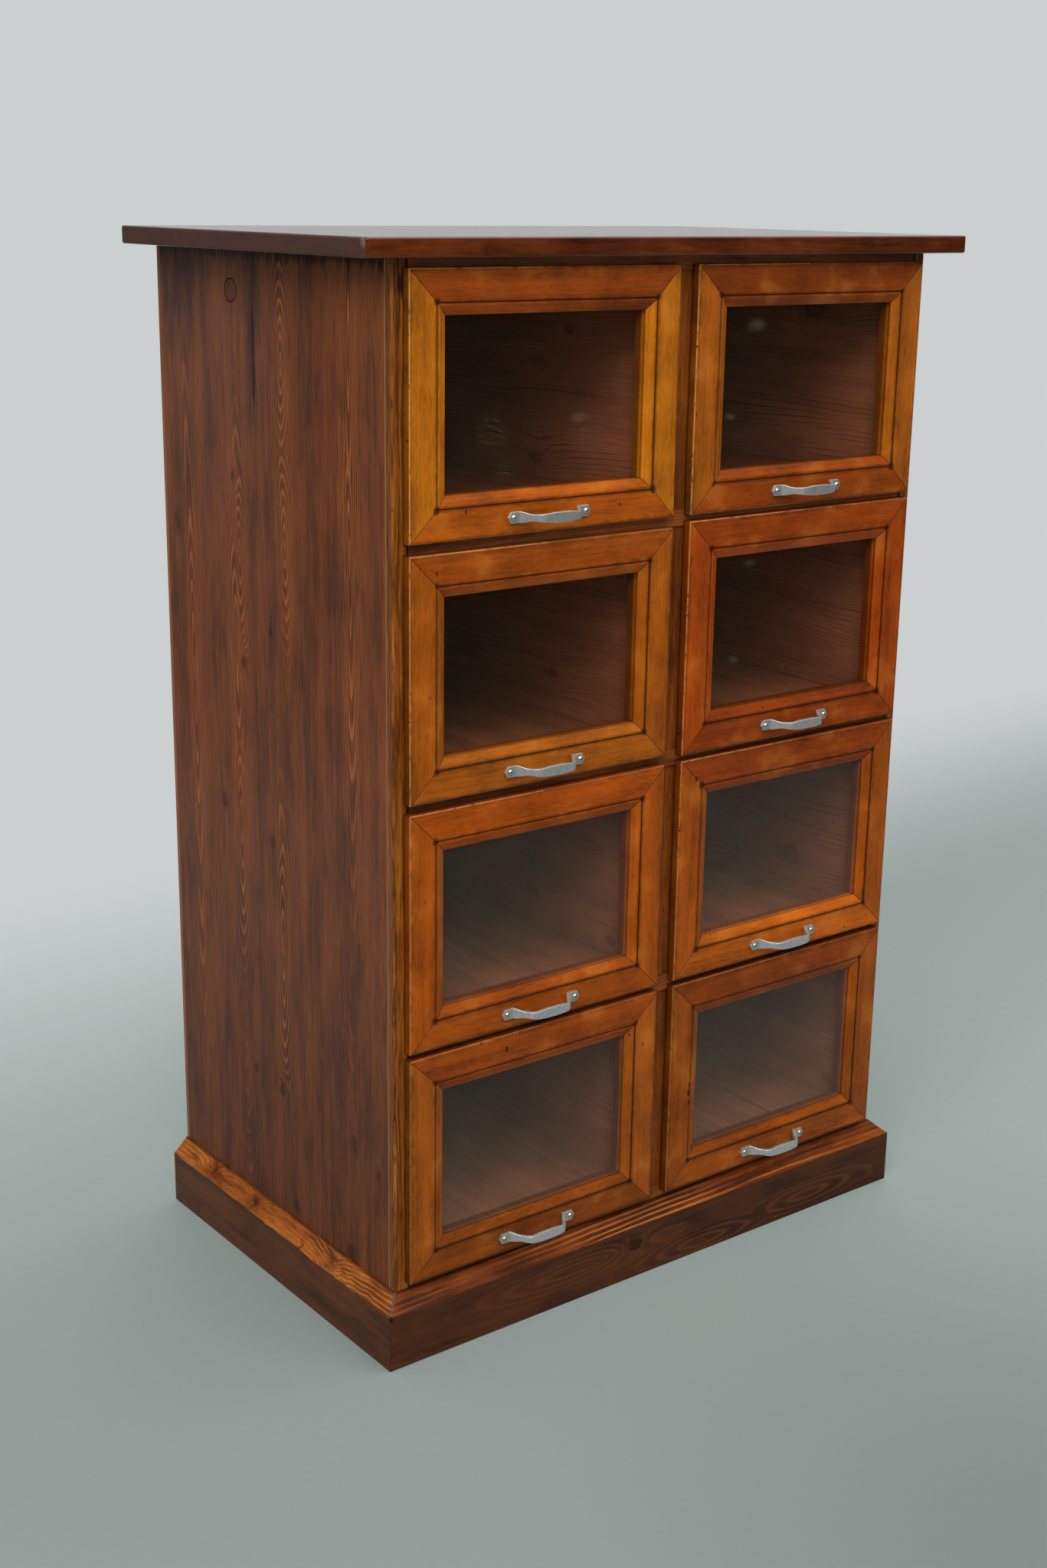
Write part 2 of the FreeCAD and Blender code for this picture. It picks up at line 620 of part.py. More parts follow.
def make_handle():
    """A cast bow: two feet with clipped ends and a strap that widens to a grip between them."""
    bow = body("HandleBow")
    end = "handle_span / 2"
    foot = f"{end} - foot_length"
    half = [(end, "0"), (end, "-foot_thick"), (foot, "-foot_thick"), ("shoulder_at", "-handle_reach")]
    hollow = [("leg_bend", "strap_thick - handle_reach"), ("leg_foot", "0")]
    mirrored = [(f"-({x})", y) for x, y in reversed(half)]
    mirrored_hollow = [(f"-({x})", y) for x, y in reversed(hollow)]
    plan = outline(bow, "HandlePlan", "XY_Plane", half + mirrored + mirrored_hollow + hollow)
    pad(bow, plan, "foot_height", middle=True)
    foot_end = size("handle_span") / 2 - size("foot_length")
    bends = [("ankle_round", foot_end, -size("foot_thick")),
             ("shoulder_round", size("shoulder_at"), -size("handle_reach")),
             ("hollow_round", size("leg_bend"), size("strap_thick") - size("handle_reach"))]
    for radius, across, out in bends:
        round_edges(bow, radius,
                    lambda edge: runs_along(edge, "z") and near(abs(middle_of(edge).x), across)
                    and near(middle_of(edge).y, out))
    upper = [(end, "0"), (f"{end} - foot_point", "foot_height / 2"),
             (f"{foot} - collar_in", "foot_height / 2"),
             ("shoulder_at + neck_out", "neck_width / 2"), ("shoulder_at - grip_in", "grip_width / 2")]
    upper += [(f"-({x})", z) for x, z in reversed(upper)]
    lower = [(x, f"-({z})") for x, z in reversed(upper[1:-1])]
    around = f"{end} + {CLEAR_OF_THE_PIECE}"
    beyond = rectangle(f"-({around})", around, "-foot_height", "foot_height")
    pocket(bow, outline(bow, "HandleFace", "XZ_Plane", beyond, upper + lower), middle=True)
    neck = size("shoulder_at") + size("neck_out")
    round_edges(bow, "neck_round",
                lambda edge: runs_along(edge, "y") and near(abs(middle_of(edge).x), neck))
    doc.recompute()
    shape = bow.Tip.Shape
    round_edges(bow, "rim_round", lambda edge: on_outer_rim(shape, edge))
    holes = sketch_on(bow, "HandleHoles", "XZ_Plane")
    for side in (-1, 1):
        add_circle(holes, f"{side} * screw_spacing / 2", "0", "screw_shank / 2 + screw_play")
    pocket(bow, holes, middle=True)
    return place(bow, y="-front_proud", z="handle_rise")


def make_screws():
    """Two slotted round-headed wood screws, each turned about its own axis."""
    screws = []
    for name, side in COLUMNS.items():
        screw = body(f"Screw{name}")
        head = sketch_on(screw, f"Screw{name}Head", "YZ_Plane")
        add_dome(head, "screw_dome", "screw_head / 2")
        shank = outline(screw, f"Screw{name}Shank", "YZ_Plane",
                        [("0", "0"),
                         ("0", "screw_shank / 2"),
                         ("screw_length - screw_shank", "screw_shank / 2"),
                         ("screw_length", "0")])
        for section in (head, shank):
            turned = screw.newObject("PartDesign::Revolution", section.Name + "Turned")
            turned.Profile = section
            turned.ReferenceAxis = (section, ["H_Axis"])
            turned.Angle = 360.0
        slot = outline(screw, f"Screw{name}Slot", "YZ_Plane",
                       rectangle("-screw_dome - screw_slot", "screw_slot - screw_dome",
                                 "-screw_slot / 2", "screw_slot / 2"))
        pocket(screw, slot, middle=True)
        screws.append(place(screw, x=f"{side} * screw_spacing / 2",
                            y="-front_proud - foot_thick", z="handle_rise"))
    return screws


def make_kit(prefix, height, common):
    """The pieces of one drawer, drawn about the drawer's own origin."""
    frame = make_strips(prefix + "Frame", frame_section(), height, screws=True)
    round_front_arris(frame)
    bead = make_strips(prefix + "Bead", bead_section(), height)
    return {"front_frame": frame, "glazing_bead": bead, "glass": [make_glass(prefix, height)], **common}


def make_drawers():
    """Six sub-parts for each drawer, all placed together at the drawer's opening.

    The refitted front lies a little higher than the others; its box runs like theirs.
    """
    common = {"box": make_box(), "handle": [make_handle()], "screws": make_screws()}
    usual = make_kit("Usual", "front_height", common)
    short = make_kit("Short", "front_height - short_trim", common)
    parts = []
    for column, side in COLUMNS.items():
        for row in range(1, ROWS + 1):
            refitted = (column, row) == SHORT_DRAWER
            low = f"first_front + {ROWS - row} * row_pitch"
            for name, pieces in (short if refitted else usual).items():
                part = group(f"{column}_drawer_{row}_{name}", pieces)
                lift = " + short_raise" if refitted and name != "box" else ""
                place(part, f"{side} * column_at", "front_at", low + lift)
                parts.append(part)
    return parts


def make_cabinet():
    case = [make_top_board(), make_side_plug(), make_stiles(), make_rails(), make_muntins(),
            make_partition(), make_floor_board(), make_back_panel(), make_runners(), make_plinth()]
    case += [make_side_panel(f"{name}_side_panel", side) for name, side in COLUMNS.items()]
    return case + make_drawers()


def check(parts):
    """Stop at the first object that failed, and at the first sub-part that isn't sound."""
    for obj in doc.Objects:
        if "Invalid" in obj.State or "Error" in obj.State:
            raise RuntimeError(f"{obj.Name} failed: {obj.State}")
    for part in parts:
        if part.Shape.isNull() or not part.Shape.isValid() or not part.Shape.Solids:
            raise RuntimeError(f"{part.Label} isn't a sound solid")


def export(parts):
    os.makedirs("parts", exist_ok=True)
    for part in parts:
        part.Shape.exportStep(f"parts/{part.Label}.step")


parts = make_cabinet()
doc.recompute()
check(parts)
export(parts)
whole = Part.makeCompound([part.Shape for part in parts]).BoundBox
print(f"{len(parts)} sub-parts, {sum(len(part.Shape.Solids) for part in parts)} solids")
print(f"box {whole.XMin:.2f} {whole.YMin:.2f} {whole.ZMin:.2f} to "
      f"{whole.XMax:.2f} {whole.YMax:.2f} {whole.ZMax:.2f}")
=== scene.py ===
"""The finish, light and camera of a haberdashery cabinet with eight glazed drawers.

Metres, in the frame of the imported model: X runs along the front, Y from front to back, Z up.
"""

from __future__ import annotations

import logging
import math
from dataclasses import dataclass, field, replace
from enum import Enum
from typing import Mapping, Sequence, Union

import bmesh
import bpy
from mathutils import Matrix, Vector, noise

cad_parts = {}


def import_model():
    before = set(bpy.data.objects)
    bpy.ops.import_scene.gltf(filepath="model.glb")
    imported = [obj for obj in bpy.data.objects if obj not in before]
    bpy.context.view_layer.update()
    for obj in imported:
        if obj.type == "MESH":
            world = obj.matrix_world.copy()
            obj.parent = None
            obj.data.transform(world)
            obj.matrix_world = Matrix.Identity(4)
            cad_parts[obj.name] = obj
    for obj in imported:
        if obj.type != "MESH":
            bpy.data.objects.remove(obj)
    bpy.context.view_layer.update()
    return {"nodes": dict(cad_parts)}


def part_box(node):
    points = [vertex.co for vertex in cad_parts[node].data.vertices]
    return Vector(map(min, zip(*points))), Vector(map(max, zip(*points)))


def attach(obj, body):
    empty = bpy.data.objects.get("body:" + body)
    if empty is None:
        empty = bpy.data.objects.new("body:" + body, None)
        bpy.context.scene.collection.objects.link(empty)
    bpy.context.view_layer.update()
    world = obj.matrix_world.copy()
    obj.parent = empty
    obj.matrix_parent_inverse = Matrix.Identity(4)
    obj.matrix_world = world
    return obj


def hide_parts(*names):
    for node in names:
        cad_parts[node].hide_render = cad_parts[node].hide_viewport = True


LOG = logging.getLogger("cabinet")
MM = 0.001
ROWS = range(1, 5)
# The front plane of the stiles, which ends the sides of the case.
SIDE_FRONT = -183.75 * MM

Colour = tuple[float, float, float]
Point = tuple[float, float, float]
Span = tuple[float, float]


def paint(red: int, green: int, blue: int) -> Colour:
    """A linear colour from the values of a paint chart, 0 to 255.

    Args:
        red: Red value.
        green: Green value.
        blue: Blue value.

    Returns:
        The colour in linear light.
    """

    def linear(value: int) -> float:
        """One value in linear light."""
        share = value / 255
        return share / 12.92 if share <= 0.04045 else ((share + 0.055) / 1.055) ** 2.4

    return linear(red), linear(green), linear(blue)


class Signal:
    """One output of a node, with the arithmetic that adds the nodes for it."""

    def __init__(self, recipe: Recipe, socket: bpy.types.NodeSocket) -> None:
        """Keeps the socket and the recipe that it belongs to."""
        self.recipe = recipe
        self.socket = socket

    def _math(self, operation: str, *values: Value) -> Signal:
        """A Math node on these values."""
        return self.recipe.add("ShaderNodeMath", {"operation": operation}, dict(enumerate(values)))

    def __add__(self, other: Value) -> Signal:
        """Sum."""
        return self._math("ADD", self, other)

    def __radd__(self, other: float) -> Signal:
        """Sum with a number on the left."""
        return self._math("ADD", other, self)

    def __sub__(self, other: Value) -> Signal:
        """Difference."""
        return self._math("SUBTRACT", self, other)

    def __rsub__(self, other: float) -> Signal:
        """Difference with a number on the left."""
        return self._math("SUBTRACT", other, self)

    def __mul__(self, other: Value) -> Signal:
        """Product."""
        return self._math("MULTIPLY", self, other)

    def __rmul__(self, other: float) -> Signal:
        """Product with a number on the left."""
        return self._math("MULTIPLY", other, self)

    def __truediv__(self, other: Value) -> Signal:
        """Quotient."""
        return self._math("DIVIDE", self, other)

    def __rtruediv__(self, other: float) -> Signal:
        """Quotient of a number and this."""
        return self._math("DIVIDE", other, self)

    def __neg__(self) -> Signal:
        """The same value below zero."""
        return self._math("MULTIPLY", self, -1.0)

    def __abs__(self) -> Signal:
        """Distance from zero."""
        return self._math("ABSOLUTE", self)

    def __gt__(self, other: Value) -> Signal:
        """1 where this is more than the other, else 0."""
        return self._math("GREATER_THAN", self, other)

    def __lt__(self, other: Value) -> Signal:
        """1 where this is less than the other, else 0."""
        return self._math("LESS_THAN", self, other)

    def root(self) -> Signal:
        """Square root."""
        return self._math("SQRT", self)

    def fraction(self) -> Signal:
        """What is left over past the last whole number."""
        return self._math("FRACT", self)

    def least(self, other: Value) -> Signal:
        """The lesser of two values."""
        return self._math("MINIMUM", self, other)

    def most(self, other: Value) -> Signal:
        """The greater of two values."""
        return self._math("MAXIMUM", self, other)

    def rise(self, low: float, high: float) -> Signal:
        """A smooth step.

        Args:
            low: Where it leaves 0.
            high: Where it reaches 1. With high under low the step falls instead.

        Returns:
            A signal from 0 to 1.
        """
        start, end, first, last = (low, high, 0.0, 1.0) if low < high else (high, low, 1.0, 0.0)
        return self.recipe.add(
            "ShaderNodeMapRange",
            {"interpolation_type": "SMOOTHSTEP"},
            {"Value": self, "From Min": start, "From Max": end, "To Min": first, "To Max": last},
        )


Value = Union[float, Signal]
Ink = Union[Colour, Signal]


class Recipe:
    """The node tree of one material."""

    def __init__(self, name: str) -> None:
        """Starts an empty tree.

        Args:
            name: The material's name.
        """
        self.material = bpy.data.materials.new(name)
        self.material.use_nodes = True
        self.tree = self.material.node_tree
        self.tree.nodes.clear()
        place = self.add("ShaderNodeTexCoord", output="Object")
        self.axes = [self.add("ShaderNodeSeparateXYZ", inputs={0: place}, output=axis)
                     for axis in range(3)]

    def add(
        self,
        kind: str,
        settings: Mapping[str, object] | None = None,
        inputs: Mapping[Union[int, str], object] | None = None,
        output: Union[int, str] = 0,
    ) -> Signal:
        """A node of any type.

        Args:
            kind: The node's type.
            settings: Its properties, such as a Math node's operation.
            inputs: Values or links of its sockets, by name or number.
            output: Which of its outputs is wanted.

        Returns:
            That output.
        """
        node = self.tree.nodes.new(kind)
        for name, value in (settings or {}).items():
            setattr(node, name, value)
        for name, value in (inputs or {}).items():
            if isinstance(value, Signal):
                self.tree.links.new(value.socket, node.inputs[name])
            elif value is not None:
                wanted = node.inputs[name]
                plain = wanted.type == "RGBA" and len(value) == 3
                wanted.default_value = (*value, 1.0) if plain else value
        return Signal(self, node.outputs[output])

    def point(self, x: Value = 0.0, y: Value = 0.0, z: Value = 0.0) -> Signal:
        """Three values as one vector."""
        return self.add("ShaderNodeCombineXYZ", inputs={0: x, 1: y, 2: z})

    def noise(self, at: Sequence[Value], detail: float = 2.0, roughness: float = 0.5) -> Signal:
        """Smooth noise.

        Args:
            at: One to three coordinates; there is one swell to each unit.
            detail: How many finer noises lie on top.
            roughness: How strong those are.

        Returns:
            A signal from about 0 to 1.
        """
        place = self.point(*at)
        wanted = {"Vector": place, "Scale": 1.0, "Detail": detail, "Roughness": roughness}
        return self.add("ShaderNodeTexNoise", inputs=wanted)

    def mix(self, share: Value, first: Ink, second: Ink, blend: str = "MIX") -> Signal:
        """Two colours mixed, with this share of the second."""
        settings = {"data_type": "RGBA", "blend_type": blend}
        return self.add("ShaderNodeMix", settings, {0: share, 6: first, 7: second}, output=2)

    def layer(self, colour: Ink, *coats: tuple[Value, Ink]) -> Signal:
        """A colour under thin coats.

        Args:
            colour: The colour at the bottom.
            *coats: Each coat's share and colour, from the lowest up.

        Returns:
            The colour on top.
        """
        for share, ink in coats:
            colour = self.mix(share, colour, ink)
        return colour

    def choose(self, share: Value, first: Value, second: Value) -> Signal:
        """The first value where share is 0, the second where it is 1."""
        return self.add("ShaderNodeMix", {"data_type": "FLOAT"}, {0: share, 2: first, 3: second})

    def strength(self, colour: Ink, factor: Value) -> Signal:
        """A colour made stronger or weaker in light."""
        grey = self.point(factor, factor, factor) if isinstance(factor, Signal) else (factor,) * 3
        return self.mix(1.0, colour, grey, "MULTIPLY")

    def nearest(self, at: Sequence[Value], spots: Sequence[Spot]) -> Signal:
        """Distance to the nearest spot, in radii of that spot.

        Args:
            at: Where the surface is, in the same axes as the spots.
            spots: The spots; there is at least one.

        Returns:
            0 at the middle of a spot and 1 on its rim.
        """
        found: Signal | None = None
        here = self.point(*at)
        for spot in spots:
            ends = {0: here, 1: spot.place}
            gap = self.add("ShaderNodeVectorMath", {"operation": "DISTANCE"}, ends, "Value")
            share = gap * (1 / spot.radius)
            found = share if found is None else found.least(share)
        return found

    def finish(
        self,
        colour: Ink,
        roughness: Value,
        height: Signal | None = None,
        relief: float = 0.1 * MM,
        arris: float = 0.0,
        **constant: float,
    ) -> bpy.types.Material:
        """Ends the tree in one surface shader.

        Args:
            colour: Base colour.
            roughness: Roughness.
            height: Relief of the surface, from 0 to 1.
            relief: What a height of 1 measures.
            arris: Radius to which sharp edges catch the light.
            **constant: More inputs of the surface shader, with spaces as underscores.

        Returns:
            The material.
        """
        normal = None
        if arris:
            normal = self.add("ShaderNodeBevel", {"samples": 4}, {"Radius": arris})
        if height is not None:
            wanted = {"Height": height, "Distance": relief, "Strength": 1.0, "Normal": normal}
            normal = self.add("ShaderNodeBump", inputs=wanted)
        inputs = {"Base Color": colour, "Roughness": roughness, "Normal": normal}
        inputs.update({name.replace("_", " "): value for name, value in constant.items()})
        return self.end(self.add("ShaderNodeBsdfPrincipled", inputs=inputs))

    def end(self, shader: Signal) -> bpy.types.Material:
        """Ends the tree in any shader.

        Args:
            shader: The shader.

        Returns:
            The material.
        """
        node = self.tree.nodes.new("ShaderNodeOutputMaterial")
        self.tree.links.new(shader.socket, node.inputs["Surface"])
        return self.material


@dataclass(frozen=True)
class Spot:
    """A round mark: its middle in the face's axes (along, across, depth) and its radius."""

    place: Point
    radius: float


@dataclass(frozen=True)
class Heart:
    """A flame in the figure, where the growth rings lie flat to the face.

    The rings show there as nested ovals. Across and apex give their middle, across the grain and
    along it. The smaller the slope, the longer the ovals, and wander is how far they stray.
    """

    across: float
    apex: float
    slope: float
    wander: float = 4 * MM


@dataclass(frozen=True)
class Grain:
    """Where a point lies in its stick of wood: along the grain, across it, and into the face."""

    along: Signal
    across: Signal
    depth: Signal


@dataclass(frozen=True)
class Timber:
    """How one kind of wood looks under its stain and varnish.

    Ring is the width of a growth ring. Drift, sway and bend say how far the rings wander, and
    flame gives the distances from a heart between which its lines come out. Lines, streaks,
    fibre, blotch and core are the strengths of the ring lines, the light and dark streaks, the
    finest hairs, the dark clouds and the middles of knots. Knots are drawn out along the grain
    by a squash under 1.
    """

    ground: Colour
    line: Colour
    shade: Colour
    warm: Colour
    ring: float = 2.6 * MM
    drift: float = 4.0
    lines: float = 0.55
    streaks: float = 0.55
    fibre: float = 0.12
    blotch: float = 0.3
    core: float = 0.7
    sway: float = 12 * MM
    bend: float = 14 * MM
    flame: Span = (24 * MM, 7 * MM)
    knot_squash: float = 0.6
    seed: float = 0.0
    hearts: Sequence[Heart] = ()
    knots: Sequence[Spot] = ()

    def rings(self, recipe: Recipe, grain: Grain) -> Signal:
        """Distance from the heart of the log, which the growth rings follow.

        Args:
            recipe: The tree to add to.
            grain: Where the point lies in its stick.

        Returns:
            The distance in metres.
        """
        sway = recipe.noise((grain.along * 2.2, self.seed, grain.depth * 8), 2.0) - 0.5
        found: Signal | None = None
        for number, heart in enumerate(self.hearts):
            shift = self.seed + 7.3 * (number + 1)
            tilt = recipe.noise((grain.along * 3.5, shift), 1.5) - 0.5
            side = grain.across - heart.across + sway * self.sway
            down = (heart.apex - grain.along) * heart.slope + tilt * (2 * heart.wander)
            near = (side * side + down * down).root()
            found = near if found is None else found.least(near)
        if found is None:
            found = grain.across + sway * self.bend
        return found

    def knot(self, recipe: Recipe, grain: Grain) -> Signal | None:
        """Distance to the nearest knot, in its radii, with a ragged rim.

        Args:
            recipe: The tree to add to.
            grain: Where the point lies in its stick.

        Returns:
            The distance, or None in wood without knots.
        """
        if not self.knots:
            return None
        long, wide = grain.along, grain.across
        ragged = (recipe.noise((long * 110, wide * 170, self.seed), 3.0, 0.6) - 0.5) * 1.8
        flat = [Spot((k.place[0] * self.knot_squash, k.place[1], 0.0), k.radius)
                for k in self.knots]
        return recipe.nearest((long * self.knot_squash, wide), flat) + ragged

    def growth(
        self, recipe: Recipe, grain: Grain, knot: Signal | None
    ) -> tuple[Signal, Signal, Signal]:
        """The growth rings, which bend round the knots.

        Args:
            recipe: The tree to add to.
            grain: Where the point lies in its stick.
            knot: Distance to the nearest knot, in its radii.

        Returns:
            The line of late wood, how clearly it shows, and the darker band between two lines.
        """
        rings = self.rings(recipe, grain)
        long, wide, deep = grain.along, grain.across, grain.depth
        drift = recipe.noise((wide * 16, long * 2.3, deep * 10 + self.seed + 2.0), 1.5)
        waves = recipe.noise((wide * 60, long * 8, deep * 50 + self.seed), 2.0)
        phase = rings * (1 / self.ring) + drift * self.drift + waves * 0.8
        if knot is not None:
            phase = phase + 3.6 / (1 + knot * knot * 0.18)
        turn = phase.fraction()
        line = turn.rise(0.5, 0.86) * turn.rise(1.0, 0.93)
        fade = recipe.noise((wide * 45, long * 5, deep * 20 + self.seed + 3.1), 2.0)
        fade = fade.rise(0.42, 0.66)
        dark = turn.rise(0.1, 0.3) * turn.rise(0.55, 0.4) * 0.35
        if self.hearts:
            flame = rings.rise(*self.flame)
            fade = (fade * 0.3).most(flame)
            dark = dark * flame
        return line, fade, dark

    def figure(self, recipe: Recipe, grain: Grain) -> tuple[Signal, Signal]:
        """Colour and relief of the bare figure.

        Args:
            recipe: The tree to add to.
            grain: Where the point lies in its stick.

        Returns:
            The colour, and the height from 0 to 1.
        """
        knot = self.knot(recipe, grain)
        line, fade, dark = self.growth(recipe, grain, knot)
        long, wide, deep = grain.along, grain.across, grain.depth
        broad = recipe.noise((wide * 30, long * 1.3, deep * 9 + self.seed + 5.0), 2.0)
        middle = recipe.noise((wide * 150, long * 6, deep * 60 + self.seed + 11.0), 4.0, 0.7)
        hair = recipe.noise((wide * 800, long * 38, deep * 300 + self.seed), 3.0, 0.6)
        cloud = recipe.noise((wide * 38, long * 12, deep * 9 + self.seed + 17.0), 4.0, 0.6)
        tone = broad * 0.34 + middle * 0.36 + cloud * 0.3
        colour = recipe.layer(
            self.ground,
            (tone.rise(0.505, 0.43) * self.streaks, self.shade),
            (tone.rise(0.505, 0.58) * self.streaks, self.warm),
        )
        colour = recipe.layer(
            recipe.strength(colour, 1 - dark * (0.65 * self.lines)),
            (line * (0.04 + fade * 0.96) * self.lines, self.line),
            (cloud.rise(0.46, 0.34) * self.blotch, self.shade),
        )
        colour = recipe.strength(colour, 1 + (hair - 0.5) * (4 * self.fibre))
        if knot is not None:
            core = knot.rise(1.15, 0.75) * (0.55 + knot.rise(0.5, 0.9) * 0.45) * self.core
            colour = recipe.layer(
                colour,
                (knot.rise(2.4, 0.9) * 0.4, self.shade),
                (core, tuple(0.3 * part for part in self.shade)),
            )
        return colour, line * 0.4 + hair * 0.6


def side_knot(depth: float, height: float, radius: float) -> Spot:
    """A knot in the left side, in millimetres behind its front end and over the floor."""
    return Spot((height * MM, SIDE_FRONT + depth * MM, 0.0), radius * MM)


class Wood(Enum):
    """The woods of the cabinet, by where they are used."""

    SIDE = Timber(
        ground=paint(106, 57, 32), line=paint(158, 88, 42),
        shade=paint(74, 43, 31), warm=paint(124, 66, 33),
        ring=2.7 * MM, drift=3.0, lines=0.85, streaks=0.62, fibre=0.3, blotch=0.3,
        hearts=(
            Heart(-0.1215, 0.900, 0.05), Heart(-0.0117, 0.905, 0.17), Heart(-0.0117, 0.738, 0.17),
            Heart(-0.1190, 0.740, 0.06), Heart(0.0700, 0.725, 0.13), Heart(0.0800, 0.630, 0.12),
            Heart(0.0800, 0.450, 0.13), Heart(0.0050, 0.340, 0.11), Heart(0.1650, 0.560, 0.05)),
        knots=(
            side_knot(263, 790, 3), side_knot(251, 616, 4), side_knot(200, 655, 3),
            side_knot(204, 452, 4), side_knot(295, 471, 4), side_knot(246, 204, 3),
            side_knot(195, 201, 4), side_knot(67, 193, 5), side_knot(26, 178, 3),
            side_knot(172, 83, 4), side_knot(75, 78, 5), side_knot(374, 734, 5)),
    )
    SIDE_RIGHT = replace(
        SIDE, seed=41.0,
        hearts=(Heart(-0.090, 0.30, 0.12), Heart(0.020, 0.85, 0.15), Heart(0.130, 0.45, 0.10),
                Heart(-0.100, 0.72, 0.06)),
        knots=(Spot((0.31, -0.10, 0.0), 5 * MM), Spot((0.62, 0.03, 0.0), 6 * MM),
               Spot((0.84, 0.14, 0.0), 5 * MM), Spot((0.47, 0.11, 0.0), 4 * MM)),
    )
    PLUG = Timber(
        ground=paint(96, 54, 36), line=paint(126, 70, 42),
        shade=paint(66, 38, 28), warm=paint(112, 62, 38), seed=3.0,
    )
    STILE = Timber(
        ground=paint(136, 74, 20), line=paint(52, 24, 8),
        shade=paint(92, 46, 12), warm=paint(166, 98, 28),
        ring=4.0 * MM, drift=2.0, lines=0.6, streaks=0.8, fibre=0.5, blotch=0.15, seed=5.0,
    )
    RAIL = Timber(
        ground=paint(138, 68, 14), line=paint(46, 21, 7),
        shade=paint(80, 37, 9), warm=paint(164, 84, 22),
        ring=3.0 * MM, lines=0.6, streaks=0.7, fibre=0.3, seed=9.0,
    )
    TOP = Timber(
        ground=paint(80, 34, 11), line=paint(50, 20, 7),
        shade=paint(56, 22, 8), warm=paint(102, 46, 16),
        ring=5.0 * MM, lines=0.5, streaks=0.8, fibre=0.3, blotch=0.3, seed=15.0,
    )
    PLINTH = Timber(
        ground=paint(80, 44, 24), line=paint(108, 60, 30),
        shade=paint(56, 32, 22), warm=paint(92, 52, 27),
        ring=5.0 * MM, drift=2.2, lines=0.7, streaks=0.7, fibre=0.15, blotch=0.4, seed=21.0,
        hearts=(Heart(0.020, 0.205, 0.16), Heart(0.012, 0.06, 0.16), Heart(0.034, -0.09, 0.12)),
        knots=(Spot((-0.035, 0.036, 0.0), 5 * MM),),
    )
    BEVEL = Timber(
        ground=paint(112, 50, 8), line=paint(180, 102, 38),
        shade=paint(66, 26, 6), warm=paint(142, 70, 18),
        ring=3.8 * MM, drift=2.5, lines=0.85, streaks=0.9, fibre=0.3, blotch=0.3, seed=22.0,
    )
    CARVED = Timber(
        ground=paint(150, 80, 26), line=paint(204, 134, 70),
        shade=paint(100, 46, 14), warm=paint(176, 100, 38),
        ring=3.0 * MM, drift=8.0, lines=0.5, streaks=0.8, fibre=0.3, blotch=0.4, core=0.25,
        knots=(Spot((-0.089, 0.060, 0.0), 5 * MM), Spot((0.056, 0.060, 0.0), 6 * MM),
               Spot((0.141, 0.060, 0.0), 5 * MM)), seed=27.0,
    )
    INSIDE = Timber(
        ground=paint(146, 84, 52), line=paint(84, 44, 28),
        shade=paint(116, 64, 42), warm=paint(166, 98, 62),
        ring=5.0 * MM, drift=7.0, lines=0.7, streaks=0.4, fibre=0.15, blotch=0.3, seed=31.0,
    )


class Side(Enum):
    """The sides of the cabinet."""

    FRONT = "front"
    LEFT = "left"
    RIGHT = "right"


@dataclass(frozen=True)
class DrawerLook:
    """What sets one drawer apart from the others.

    The stiles and the two rails of its front have their own colours, which hold painted light and
    shade, and haze is the dust on its pane. Knots lie on the inner wall at (depth, height),
    smudges and fine grime on the pane at (along, height). Marks are dents in the front, at
    (along, height) from its middle, twice as high as wide.
    """

    stile: Colour
    top: Colour
    bottom: Colour
    haze: float
    knots: Sequence[Spot] = ()
    smudges: Sequence[Spot] = ()
    grime: Sequence[Spot] = ()
    marks: Sequence[Spot] = ()


def mark(along: float, height: float, radius: float = 6.0) -> Spot:
    """A round mark on an upright face, in millimetres."""
    return Spot((along * MM, height * MM, 0.0), radius * MM)


